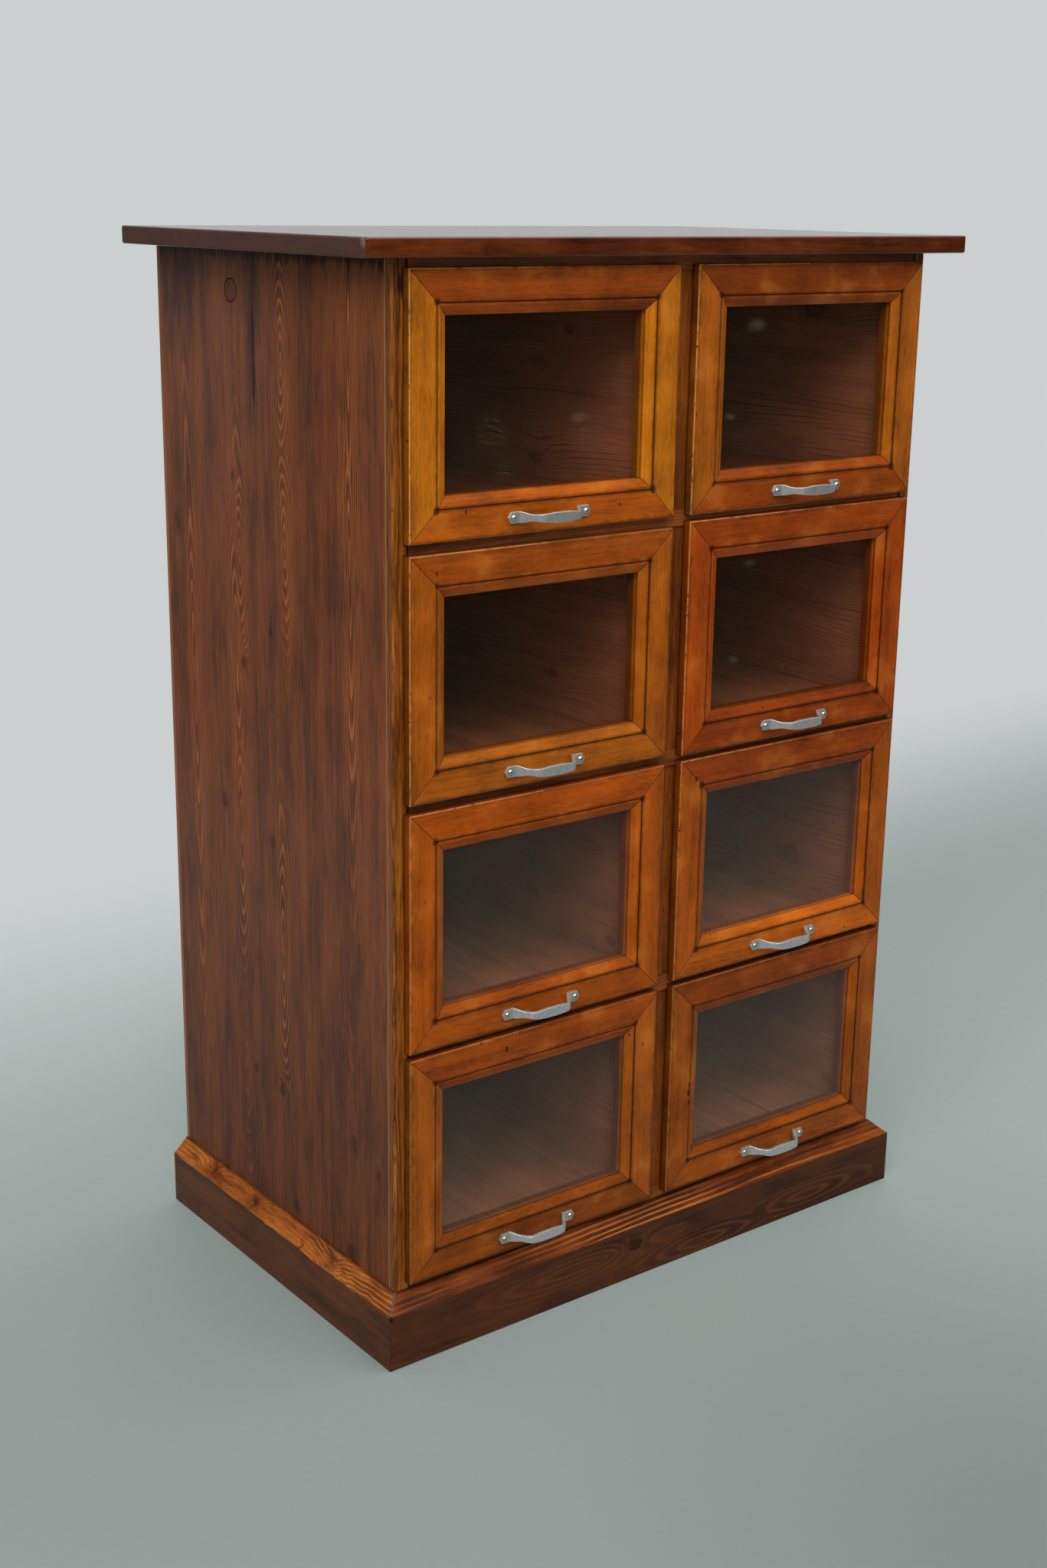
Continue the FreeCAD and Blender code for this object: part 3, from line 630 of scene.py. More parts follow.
DRAWER_LOOKS = {
    (Side.LEFT, 1): DrawerLook(
        paint(174, 97, 7), paint(137, 61, 6), paint(160, 75, 6), 0.012,
        knots=(mark(-8, 798), mark(-57, 922, 4)), smudges=(mark(-119, 858, 7),),
        grime=(mark(-214, 850, 20), mark(-200, 820, 12), mark(-110, 842, 18)),
        marks=(mark(-88, -88, 1.0),)),
    (Side.LEFT, 2): DrawerLook(
        paint(154, 77, 8), paint(149, 69, 8), paint(155, 80, 12), 0.014,
        knots=(mark(-40, 590, 4),), marks=(mark(-118, 92, 1.0),)),
    (Side.LEFT, 3): DrawerLook(
        paint(155, 72, 8), paint(161, 71, 6), paint(149, 68, 8), 0.04,
        knots=(mark(-14, 355), mark(-139, 340, 5)), smudges=(mark(-246, 345, 1.6),)),
    (Side.LEFT, 4): DrawerLook(
        paint(150, 75, 13), paint(148, 66, 10), paint(127, 60, 10), 0.055,
        marks=(mark(-38, 97, 1.5), mark(112, 74, 1.0), mark(128, 60, 1.1))),
    (Side.RIGHT, 1): DrawerLook(
        paint(154, 79, 8), paint(120, 52, 5), paint(136, 58, 5), 0.012,
        knots=(mark(-67, 935, 9),), smudges=(mark(89, 931, 9), mark(60, 849, 5)),
        marks=(mark(-143, 60, 0.8), mark(-143, -20, 0.7))),
    (Side.RIGHT, 2): DrawerLook(
        paint(153, 62, 3), paint(140, 57, 4), paint(132, 53, 6), 0.014,
        smudges=(mark(93, 710, 6), mark(77, 618, 5))),
    (Side.RIGHT, 3): DrawerLook(
        paint(153, 71, 8), paint(136, 56, 7), paint(172, 83, 10), 0.038,
        knots=(mark(-69, 352, 12),), marks=(mark(-126, 92, 1.6),)),
    (Side.RIGHT, 4): DrawerLook(
        paint(140, 67, 8), paint(135, 59, 8), paint(140, 66, 8), 0.055,
        knots=(mark(-148, 112, 5),),
        marks=(mark(-119, 0, 1.8), mark(-119, -9, 2.6), mark(-119, -19, 2.2),
               mark(-119, -50, 1.6), mark(-110, -72, 2.0))),
}


@dataclass
class Outline:
    """A box from the frame."""

    low: Vector
    high: Vector

    @classmethod
    def of(cls, node: str) -> Outline:
        """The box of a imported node."""
        low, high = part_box(node)
        return cls(Vector(low), Vector(high))

    @property
    def middle(self) -> Vector:
        """Its centre."""
        return (self.low + self.high) / 2

    @property
    def half(self) -> Vector:
        """Half its size."""
        return (self.high - self.low) / 2


class Finish:
    """What every finish can do."""

    def material(self) -> bpy.types.Material:
        """Builds the material."""
        raise NotImplementedError

    def dress(self, *nodes: bpy.types.Object) -> None:
        """Gives every face of these nodes the material.

        Args:
            *nodes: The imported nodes' objects.
        """
        material = self.material()
        for node in nodes:
            if not node.material_slots:
                node.data.materials.append(material)
            for held in node.material_slots:
                held.material = material
            LOG.info("%s: %s", node.name, material.name)


@dataclass(frozen=True)
class TopFinish(Finish):
    """Dark reddish polish with a rubbed corner and grey, open end grain."""

    box: Outline
    end_grain: Colour = paint(68, 42, 33)
    end_cloud: Colour = paint(78, 42, 30)
    bare: Colour = paint(150, 112, 100)
    skin: float = 1.2 * MM
    inset: float = 3 * MM
    rub: float = 7 * MM

    def material(self) -> bpy.types.Material:
        """Builds the material.

        Returns:
            The material of the top board.
        """
        recipe = Recipe("polished top")
        x, y, z = recipe.axes
        colour, height = Wood.TOP.value.figure(recipe, Grain(x, y, z))
        end = (abs(x) - (self.box.high.x - self.skin)).rise(0.0, 1.0 * MM)
        pores = recipe.noise((x * 700, y * 700, z * 260), 3.0, 0.7)
        cloud = recipe.noise((x * 30, y * 30, z * 90), 3.0)
        ends = recipe.mix(cloud.rise(0.4, 0.6), self.end_grain, self.end_cloud)
        corner = Spot((0.0, self.box.low.y + self.inset, self.box.high.z - self.inset), self.rub)
        rubbed = recipe.nearest((0.0, y, z), [corner]) + (pores - 0.5) * 1.5
        colour = recipe.layer(
            colour,
            (end, recipe.strength(ends, 0.4 + pores * 1.2)),
            (rubbed.rise(1.0, 0.4) * end * 0.45, self.bare),
        )
        scuff = recipe.noise((x * 60, y * 60, z * 200), 3.0)
        rough = 0.12 + end * 0.5 + scuff * 0.06
        return recipe.finish(
            colour, rough, height, 0.02 * MM, arris=1.4 * MM, Specular_IOR_Level=0.45)


@dataclass(frozen=True)
class SideFinish(Finish):
    """Dark stained pine, torn open along its glue joint near the top.

    Each span is the height at which a mark starts and the height at which it is in full.
    """

    name: str
    wood: Timber
    box: Outline
    joint: float = 211 * MM
    crack: Span = (0.72, 0.85)
    torn_foot: Span = (0.845, 0.875)
    torn_head: Span = (0.950, 0.925)
    stained: Span = (0.80, 0.92)
    chipped_and_shadowed: Span = (0.982, 0.990)
    darker_back_span: Span = (0.88, 0.95)
    shaded_foot: Span = (0.10, 0.50)
    sheen_span: Span = (0.45, 0.95)
    stain: Colour = paint(42, 29, 26)
    hollow: Colour = paint(16, 11, 10)
    chip_and_shadow: Colour = paint(22, 13, 10)
    darker_back: Colour = paint(42, 32, 32)
    pit: Colour = paint(28, 17, 13)
    painted_sheen: Colour = paint(190, 170, 165)

    def material(self) -> bpy.types.Material:
        """Builds the material.

        Returns:
            The material of the side panel.
        """
        recipe = Recipe(self.name)
        x, y, z = recipe.axes
        colour, height = self.wood.figure(recipe, Grain(z, y, x))
        # The glue joint wanders, and near the top it is torn open with splinters.
        wobble = recipe.noise((z * 60, 3.0), 3.0) - 0.5
        splinters = recipe.noise((y * 500, z * 170, 4.0), 3.0, 0.6) - 0.5
        gap = abs(y - (self.box.low.y + self.joint) + wobble * 3 * MM)
        torn = z.rise(*self.torn_foot) * z.rise(*self.torn_head)
        opened = recipe.noise((z * 32, 5.0), 3.0).rise(0.3, 0.6) * torn
        crack = (gap + (splinters * 3.4 - 1.9) * MM * opened).rise(1.3 * MM, 0.5 * MM)
        crack = crack * (0.5 + torn * 0.5) * z.rise(*self.crack)
        # Stain beside the joint, a dark top edge of chips and painted shadow under the top board,
        # darkening near the back and scattered pits.
        spread = recipe.noise((y * 90, z * 14, 6.0), 3.0)
        stain = gap.rise(20 * MM, 2 * MM) * z.rise(*self.stained) * spread.rise(0.3, 0.6)
        ragged = recipe.noise((y * 260, z * 12, 2.0), 4.0, 0.6)
        chipped_and_shadowed = (z + (ragged - 0.5) * 40 * MM).rise(*self.chipped_and_shadowed)
        behind = y.rise(0.10, 0.17) * z.rise(*self.darker_back_span) * spread.rise(0.35, 0.6)
        pits = recipe.noise((y * 420, z * 160, 9.0), 1.0).rise(0.74, 0.8)
        colour = recipe.layer(
            colour,
            (stain * 0.7, self.stain),
            (crack * (0.5 + spread * 0.6), self.hollow),
            (chipped_and_shadowed * 0.75, self.chip_and_shadow),
            (behind * 0.6, self.darker_back),
            (pits * 0.7, self.pit),
        )
        # Painted shade at the foot, painted light near the front, painted sheen at the top behind.
        light = 0.80 + z.rise(*self.shaded_foot) * 0.2 + y.rise(-0.08, -0.17) * 0.12
        sheen_share = z.rise(*self.sheen_span) * y.rise(-0.10, 0.10) * 0.045
        colour = recipe.mix(sheen_share, recipe.strength(colour, light), self.painted_sheen)
        sheen = recipe.noise((y * 30, z * 9, 8.0), 2.0)
        return recipe.finish(
            colour, 0.34 + sheen * 0.2, height, 0.06 * MM, Specular_IOR_Level=0.14)


@dataclass(frozen=True)
class PlugFinish(Finish):
    """A round plug with a dark line round it."""

    box: Outline
    line: Colour = paint(16, 9, 6)

    def material(self) -> bpy.types.Material:
        """Builds the material.

        Returns:
            The material of the plug.
        """
        recipe = Recipe("plug in the side")
        x, y, z = recipe.axes
        colour, height = Wood.PLUG.value.figure(recipe, Grain(z, y, x))
        disc = Spot((0.0, self.box.middle.y, self.box.middle.z), self.box.half.z)
        rim = recipe.nearest((0.0, y, z), [disc]).rise(0.84, 0.93)
        return recipe.finish(recipe.mix(rim * 0.95, colour, self.line), 0.45, height, 0.05 * MM)


@dataclass(frozen=True)
class StileFinish(Finish):
    """Golden oak with open dark grain, painted shadow beside the fronts and bruised at the top."""

    box: Outline
    shown: float = 16 * MM
    bruise_place: tuple[float, float] = (9 * MM, 972 * MM)
    bruise_size: float = 3.4 * MM
    bruise_stretch: float = 3.0
    bright: Colour = paint(178, 104, 30)
    cut: Colour = paint(58, 26, 8)
    pore: Colour = paint(38, 18, 6)
    flank: Colour = paint(136, 88, 52)
    flank_pore: Colour = paint(84, 48, 26)
    seam: Colour = paint(176, 118, 58)
    black: Colour = paint(16, 8, 4)
    bruise: Colour = paint(34, 22, 20)

    def material(self) -> bpy.types.Material:
        """Builds the material.

        Returns:
            The material of the two stiles.
        """
        recipe = Recipe("oak stiles")
        x, y, z = recipe.axes
        outer = self.box.high.x
        # Across the grain, the face and the outer flank are one surface.
        round_arris = x.most(-x) - y
        colour, height = Wood.STILE.value.figure(recipe, Grain(z, round_arris, y))
        bend = recipe.noise((z * 9, (x > 0.0) * 5.0), 2.0) * 4
        cut = recipe.noise((round_arris * 420 + bend, z * 7, 4.0), 3.0, 0.55)
        pore = recipe.noise((round_arris * 1100, z * 45, 8.0), 2.0)
        # The outer flank, its light seam against the side panel, and painted shadow by the fronts.
        flank = (abs(x) - (outer - 0.6 * MM)).rise(0.0, 0.4 * MM)
        seam = (y - self.box.high.y).rise(-1.6 * MM, -0.8 * MM) * flank
        shadow_edge = recipe.noise((z * 70, 8.0), 2.0) * 1.6 * MM + (outer - self.shown)
        inset, level = self.bruise_place
        spot = Spot((outer - inset, level / self.bruise_stretch, 0.0), self.bruise_size)
        bruise = recipe.nearest((abs(x), z / self.bruise_stretch), [spot]) + (pore - 0.5) * 2.0
        colour = recipe.layer(
            colour,
            (cut.rise(0.53, 0.66) * 0.6, self.bright),
            (cut.rise(0.47, 0.36) * 0.75, self.cut),
            (pore.rise(0.58, 0.68) * 0.6, self.pore),
            (flank * 0.65, recipe.mix(pore.rise(0.3, 0.6), self.flank, self.flank_pore)),
            (seam * 0.7, self.seam),
            ((abs(x) - shadow_edge).rise(1.2 * MM, 0.4 * MM), self.black),
            (bruise.rise(1.1, 0.6) * 0.85, self.bruise),
        )
        return recipe.finish(colour, 0.4, height, 0.15 * MM, Specular_IOR_Level=0.15)


@dataclass(frozen=True)
class RailFinish(Finish):
    """Dark oak in the gaps between the fronts: lying rails, or upright muntins with pores."""

    name: str
    upright: bool
    pore: Colour = paint(24, 12, 6)

    def material(self) -> bpy.types.Material:
        """Builds the material.

        Returns:
            The material of the rails or the muntins.
        """
        recipe = Recipe(self.name)
        x, y, z = recipe.axes
        grain = Grain(z, x, y) if self.upright else Grain(x, z, y)
        colour, height = Wood.RAIL.value.figure(recipe, grain)
        if self.upright:
            pore = recipe.noise((x * 1300, z * 60, 9.0), 2.0)
            colour = recipe.mix(pore.rise(0.55, 0.66) * 0.6, colour, self.pore)
        return recipe.finish(colour, 0.45, height, 0.1 * MM, Specular_IOR_Level=0.3)


@dataclass(frozen=True)
class PineFinish(Finish):
    """Plain pine for what the fronts hide, and for the back."""

    name: str
    upright: bool

    def material(self) -> bpy.types.Material:
        """Builds the material.

        Returns:
            The material of one inner board.
        """
        recipe = Recipe(f"{self.name} pine")
        x, y, z = recipe.axes
        grain = Grain(z, x + y, y) if self.upright else Grain(y, x, z)
        colour, height = Wood.INSIDE.value.figure(recipe, grain)
        return recipe.finish(colour, 0.6, height, 0.1 * MM)


@dataclass
class Case:
    """Top board, sides, stiles, rails, muntins, inner boards and back."""

    nodes: Mapping[str, bpy.types.Object]
    lying: Sequence[str] = ("floor_board", "drawer_runners")
    upright: Sequence[str] = ("centre_partition", "back_panel")

    def dress(self) -> None:
        """Gives each board of the case its finish."""
        finishes: dict[str, Finish] = {
            "top_board": TopFinish(Outline.of("top_board")),
            "side_plug": PlugFinish(Outline.of("side_plug")),
            "front_stiles": StileFinish(Outline.of("front_stiles")),
            "front_rails": RailFinish("oak rails", upright=False),
            "centre_muntins": RailFinish("oak muntins", upright=True),
        }
        for name, wood in (("left_side_panel", Wood.SIDE), ("right_side_panel", Wood.SIDE_RIGHT)):
            finishes[name] = SideFinish(name.replace("_", " "), wood.value, Outline.of(name))
        for name in (*self.lying, *self.upright):
            finishes[name] = PineFinish(name.replace("_", " "), name in self.upright)
        for name, finish in finishes.items():
            finish.dress(self.nodes[name])


@dataclass(frozen=True)
class Dent:
    """A dent in a hand-cut bevel: place along the board, place up the bevel, depth in mm."""

    place: float
    share: float
    deep: float


@dataclass
class WornPlinth:
    """The plinth's three mitred boards with hand-cut bevels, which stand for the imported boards.

    A section is a loop of points (inset, height): the inset is the distance in from the outer
    face. The bevel's lower edge wanders and its face is hollowed by dents. Land is the level
    edge above the bevel, and ease is what is taken off the arris at the floor.
    """

    top: float = 69.5 * MM
    arris: float = 55.3 * MM
    thick: float = 16.5 * MM
    land: float = 1.0 * MM
    ease: float = 0.4 * MM
    bevel_steps: int = 10
    stride: float = 2.5 * MM
    crease: float = math.radians(32)
    dent_length: float = 5.5 * MM
    dent_height: float = 0.24
    dents: Sequence[Dent] = (
        Dent(-0.089, 0.45, 3.2), Dent(-0.112, 0.25, 1.6), Dent(0.056, 0.40, 3.4),
        Dent(0.030, 0.7, 1.4), Dent(0.141, 0.50, 2.6), Dent(0.178, 0.30, 1.8),
        Dent(-0.040, 0.15, 2.4), Dent(-0.160, 0.2, 1.4))
    wear: Mapping[Side, float] = field(
        default_factory=lambda: {Side.FRONT: 0.15, Side.LEFT: 1.0, Side.RIGHT: 0.6})

    @property
    def reach(self) -> float:
        """How far the mitre runs in from the outer corner."""
        return self.thick + self.land

    def hollow(self, run: float, share: float, wear: float) -> float:
        """How deep the bevel is cut below its plane.

        Args:
            run: Place along the board.
            share: Place up the bevel, from 0 to 1.
            wear: How roughly the board is cut, from 0 to 1.

        Returns:
            The depth in metres.
        """
        swell = noise.noise(Vector((run * 34, share * 1.3, 5.0)))
        chop = noise.noise(Vector((run * 95, share * 3.0, 9.0)))
        depth = max(0.0, 0.25 + swell * 1.5) + max(0.0, chop) * 0.7
        for dent in self.dents:
            along = (run - dent.place) / self.dent_length
            up = (share - dent.share) / self.dent_height
            depth += dent.deep * math.exp(-(along ** 2 + up ** 2))
        # The bevel's own two edges aren't cut.
        held = min(1.0, share * 7) * min(1.0, (1 - share) * 9)
        return depth * MM * held * wear

    def section(self, run: float, wear: float) -> list[tuple[float, float]]:
        """The outline of a board at one place along it.

        Args:
            run: Place along the board.
            wear: How roughly the board is cut, from 0 to 1.

        Returns:
            A loop of points (inset, height).
        """
        swell = noise.noise(Vector((run * 20, 2.0, 1.0)))
        chop = noise.noise(Vector((run * 70, 4.0, 1.0)))
        arris = self.arris - max(0.0, 0.9 + 2.4 * swell + 1.1 * chop) * MM * wear
        loop = [(self.thick, 0.0), (self.ease, 0.0), (0.0, self.ease), (0.0, arris)]
        wide, high = self.thick - self.land, self.top - arris
        span = math.hypot(wide, high)
        for i in range(1, self.bevel_steps + 1):
            share = i / self.bevel_steps
            cut = self.hollow(run, share, wear)
            loop.append((share * wide + cut * high / span,
                         arris + share * high - cut * wide / span))
        return loop + [(self.thick, self.top)]

    def board(self, side: Side, box: Outline) -> tuple[list[Point], list[tuple[int, ...]]]:
        """Corners and faces of one closed board.

        Args:
            side: Where the board is.
            box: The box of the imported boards.

        Returns:
            The corners and the faces.
        """
        across = side is Side.FRONT
        start, end = (box.low.x, box.high.x) if across else (box.low.y, box.high.y)
        steps = round((end - start) / self.stride)
        corners: list[Point] = []
        for i in range(steps + 1):
            share = i / steps
            for inset, height in self.section(start + share * (end - start), self.wear[side]):
                first = start + inset
                last = end - inset if across else end
                run = first + share * (last - first)
                left, right = box.low.x + inset, box.high.x - inset
                corners.append((run, box.low.y + inset, height) if across
                               else (left if side is Side.LEFT else right, run, height))
        count = len(corners) // (steps + 1)
        rings = [range(i * count, (i + 1) * count) for i in range(steps + 1)]
        faces = [(near[k], near[(k + 1) % count], far[(k + 1) % count], far[k])
                 for near, far in zip(rings, rings[1:]) for k in range(count)]
        return corners, faces + [tuple(rings[0]), tuple(rings[-1])]

    def build(self) -> None:
        """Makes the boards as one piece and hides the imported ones."""
        box = Outline.of("plinth_boards")
        mesh = bpy.data.meshes.new("worn plinth")
        corners: list[Point] = []
        faces: list[tuple[int, ...]] = []
        for side in Side:
            more, loops = self.board(side, box)
            faces += [tuple(index + len(corners) for index in loop) for loop in loops]
            corners += more
        mesh.from_pydata(corners, [], faces)
        mesh.validate()
        shape = bmesh.new()
        shape.from_mesh(mesh)
        bmesh.ops.recalc_face_normals(shape, faces=shape.faces)
        shape.to_mesh(mesh)
        shape.free()
        mesh.shade_smooth()
        mesh.set_sharp_from_angle(angle=self.crease)
        plinth = bpy.data.objects.new("worn_plinth", mesh)
        bpy.context.collection.objects.link(plinth)
        PlinthFinish(self, box).dress(plinth)
        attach(plinth, "carcass")
        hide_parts("plinth_boards")


@dataclass(frozen=True)
class PlinthFinish(Finish):
    """Dark faces under a lighter worn bevel, with filler in the left mitre."""

    plinth: WornPlinth
    box: Outline
    front_light: float = 0.82
    side_light: float = 1.12
    deep_dent: float = 2.0
    torn: Colour = paint(52, 24, 10)
    steep_shade: Colour = paint(74, 34, 12)
    inner: Colour = paint(40, 18, 8)
    filler: Colour = paint(84, 78, 86)
    foot: Colour = paint(24, 15, 12)

    def lean(self, recipe: Recipe) -> Signal:
        """How far the surface faces up."""
        normal = recipe.add("ShaderNodeNewGeometry", output="Normal")
        return recipe.add("ShaderNodeSeparateXYZ", inputs={0: normal}, output=2)

    def bevel(self, recipe: Recipe, grain: Grain, on_side: Signal, edge: Signal) -> Signal:
        """Colour of the bevel.

        Args:
            recipe: The tree to add to.
            grain: Where the point lies in its board.
            on_side: 1 on the left and right boards, 0 on the front one.
            edge: Noise about 0 that makes edges ragged.

        Returns:
            The colour.
        """
        plinth = self.plinth
        front, _ = Wood.BEVEL.value.figure(recipe, grain)
        side, _ = Wood.CARVED.value.figure(recipe, grain)
        dents = []
        for dent in plinth.dents:
            level = plinth.arris + (plinth.top - plinth.arris) * dent.share - 1.5 * MM
            if dent.deep > self.deep_dent:
                dents.append(Spot((dent.place + level * 0.5, level, 0.0), 1.1 * MM * dent.deep))
        torn = recipe.nearest((grain.along + grain.across * 0.5, grain.across), dents)
        # Painted shade on the steeper facets of the side bevels.
        steep_shade = self.lean(recipe).rise(0.72, 0.5) * on_side
        side = recipe.layer(
            side,
            ((torn + edge * 4.5).rise(1.1, 0.5) * 0.6, self.torn),
            (steep_shade * 0.5, self.steep_shade),
        )
        return recipe.mix(on_side, front, side)

    def material(self) -> bpy.types.Material:
        """Builds the material.

        Returns:
            The material of the worn plinth.
        """
        recipe = Recipe("bevelled plinth")
        x, y, z = recipe.axes
        low, reach = self.box.low, self.plinth.reach
        on_side = (abs(x) - self.box.high.x + reach) - (low.y + reach - y) > 0.0
        run = recipe.choose(on_side, x, y)
        grain = Grain(run, z, recipe.choose(on_side, y, x))
        # A metre further along the log the side boards are clear of the hearts.
        straight = Grain(run + on_side, grain.across, grain.depth)
        face, height = Wood.PLINTH.value.figure(recipe, straight)
        # Painted light: the front faces darker, the side faces lighter.
        face = recipe.strength(face, recipe.choose(on_side, self.front_light, self.side_light))
        edge = recipe.noise((run * 60, z * 60, 7.0), 3.0) - 0.5
        bevel = (self.lean(recipe) + edge * 0.25).rise(0.2, 0.42)
        inner = (z - self.plinth.top).rise(-2.2 * MM, -0.6 * MM) * bevel
        mitre = abs((x - low.x) - (y - low.y) + edge * 1.2 * MM).rise(1.5 * MM, 0.8 * MM)
        filler = mitre * (x < low.x + reach) * (z + edge * 4 * MM).rise(0.051, 0.055)
        knocked = Spot((low.x, low.y, self.plinth.arris - 1.5 * MM), 3.2 * MM)
        foot = (recipe.nearest(recipe.axes, [knocked]) + edge).rise(1.2, 0.6)
        colour = recipe.layer(
            face,
            (bevel, self.bevel(recipe, grain, on_side, edge)),
            (inner * 0.6, self.inner),
            (filler * 0.9, self.filler),
            (foot * 0.9, self.foot),
        )
        return recipe.finish(
            colour, 0.36, height, 0.12 * MM, arris=0.6 * MM, Specular_IOR_Level=0.1)


@dataclass(frozen=True)
class FrontFinish(Finish):
    """Honey-coloured wood whose grain turns at the mitres.

    Flat is the width of the members outside the bead. The painted shade of the edges covers the
    rim, and the inner faces, which get painted shade too, lie further in than the reveal.
    """

    drawer: Drawer
    flat: float = 27.5 * MM
    rim: float = 2 * MM
    reveal: float = 34 * MM
    stretch: float = 2.0
    pale: Colour = paint(186, 122, 44)
    speck: Colour = paint(58, 24, 8)
    mitre: Colour = paint(30, 14, 6)
    groove: Colour = paint(34, 16, 7)
    dirt: Colour = paint(26, 12, 5)
    dent: Colour = paint(34, 15, 6)
    soil: Colour = paint(52, 24, 8)
    # Painted shadow in the gaps, and painted shade on the inner faces.
    back: Colour = paint(18, 9, 4)
    inner: Colour = paint(70, 32, 12)
    lit: Colour = paint(222, 160, 86)
    nick: Colour = paint(40, 18, 7)

    def figure(self, recipe: Recipe, grain: Grain, ground: Signal) -> Signal:
        """Close even grain with short dark flecks.

        Args:
            recipe: The tree to add to.
            grain: Where the point lies in its member.
            ground: The member's own colour.

        Returns:
            The colour.
        """
        long, wide, deep = grain.along, grain.across, grain.depth
        broad = recipe.noise((wide * 60, long * 5, deep * 6), 3.0)
        flecks = recipe.noise((wide * 800, long * 95, deep * 40), 3.0, 0.6)
        cloud = recipe.noise((wide * 30, long * 22, deep * 6), 3.0)
        specks = recipe.noise((wide * 260, long * 180, deep * 40), 1.0).rise(0.76, 0.82)
        vein = recipe.noise((wide * 330, long * 7, deep * 12), 3.0, 0.6)
        light = 1 + (broad - 0.5) * 1.1 + (cloud - 0.5) * 1.1 + (flecks - 0.5) * 1.2
        return recipe.layer(
            recipe.strength(ground, light + (vein - 0.5) * 0.7),
            (cloud.rise(0.55, 0.7) * 0.22, self.pale),
            (flecks.rise(0.58, 0.72) * 0.45, recipe.strength(ground, 0.3)),
            (specks * 0.7, self.speck),
        )

    def material(self) -> bpy.types.Material:
        """Builds the material.

        Returns:
            The material of the front's frame and bead.
        """
        drawer, look = self.drawer, self.drawer.look
        recipe = Recipe(f"{drawer.name} front")
        x, y, z = recipe.axes
        box = drawer.box("front_frame")
        half = box.half
        right, up, behind = x - box.middle.x, z - box.middle.z, y - box.low.y
        past_side, past_end = abs(right) - half.x, abs(up) - half.z
        inward = -past_side.most(past_end)
        rail = past_end > past_side
        far = recipe.choose(rail, (right > 0.0) * 3.0, (up > 0.0) * 5.0)
        grain = Grain(recipe.choose(rail, up, right), recipe.choose(rail, right, up),
                      y + far + drawer.seed)
        # The member colours carry painted light and shade.
        rails = recipe.mix(up > 0.0, look.bottom, look.top)
        colour = self.figure(recipe, grain, recipe.mix(rail, look.stile, rails))
        # Dark mitres, the groove round the bead and dirt in its corners.
        wear = recipe.noise([axis * 90 for axis in recipe.axes], 3.0)
        rabbet = Spot((half.x - self.flat, half.z - self.flat, 0.0), 4.5 * MM)
        dirt = recipe.nearest((abs(right), abs(up)), [rabbet]) + (wear - 0.5) * 1.6
        colour = recipe.layer(
            colour,
            (abs(past_side - past_end).rise(0.7 * MM, 0.25 * MM) * 0.8, self.mitre),
            (abs(inward - self.flat - 0.2 * MM).rise(1.2 * MM, 0.2 * MM) * 0.7, self.groove),
            (dirt.rise(1.0, 0.3) * 0.75, self.dirt),
        )
        if look.marks:
            flat = [Spot((m.place[0], m.place[1] / self.stretch, 0.0), m.radius)
                    for m in look.marks]
            dent = recipe.nearest((right, up / self.stretch), flat) + (wear - 0.5) * 1.8
            colour = recipe.mix(dent.rise(1.1, 0.5) * 0.8, colour, self.dent)
        # Soil near the rim and by the bead; painted shade on the edges, nearly black at the back.
        soil = (inward + (wear - 0.5) * 9 * MM).rise(4.5 * MM, 0.5 * MM)
        bead_soil = (abs(inward - self.flat) + (wear - 0.5) * 6 * MM).rise(3.0 * MM, 0.5 * MM)
        outside = inward < self.rim
        colour = recipe.layer(
            colour,
            (soil.most(bead_soil) * 0.42, self.soil),
            (behind.rise(7.0 * MM, 9.5 * MM) * outside * 0.9, self.back),
        )
        colour = recipe.strength(colour, 1 - behind.rise(1.4 * MM, 2.2 * MM) * outside * 0.225)
        # The outer arris catches the light, more so on the left half and in the upper rows.
        arris = inward.most(behind)
        along = recipe.noise((x * 70, drawer.seed, z * 70), 4.0, 0.65)
        lit = (arris + (along - 0.5) * 1.6 * MM).rise(1.5 * MM, 0.9 * MM)
        lit = lit * (0.3 + (right < 0.0) * 0.7) * (1.15 - 0.2 * drawer.row)
        nicks = recipe.noise((x * 330, drawer.seed, z * 190), 2.0).rise(0.64, 0.7)
        colour = recipe.layer(
            colour,
            # Painted shade on the inner faces of the opening.
            (behind.rise(9 * MM, 11 * MM) * (inward > self.reveal) * 0.75, self.inner),
            (lit * along.rise(0.32, 0.6) * 0.75, self.lit),
            (arris.rise(2.4 * MM, 1.4 * MM) * nicks * 0.9, self.nick),
        )
        return recipe.finish(colour, 0.32 + wear * 0.12, arris=0.5 * MM, Specular_IOR_Level=0.14)


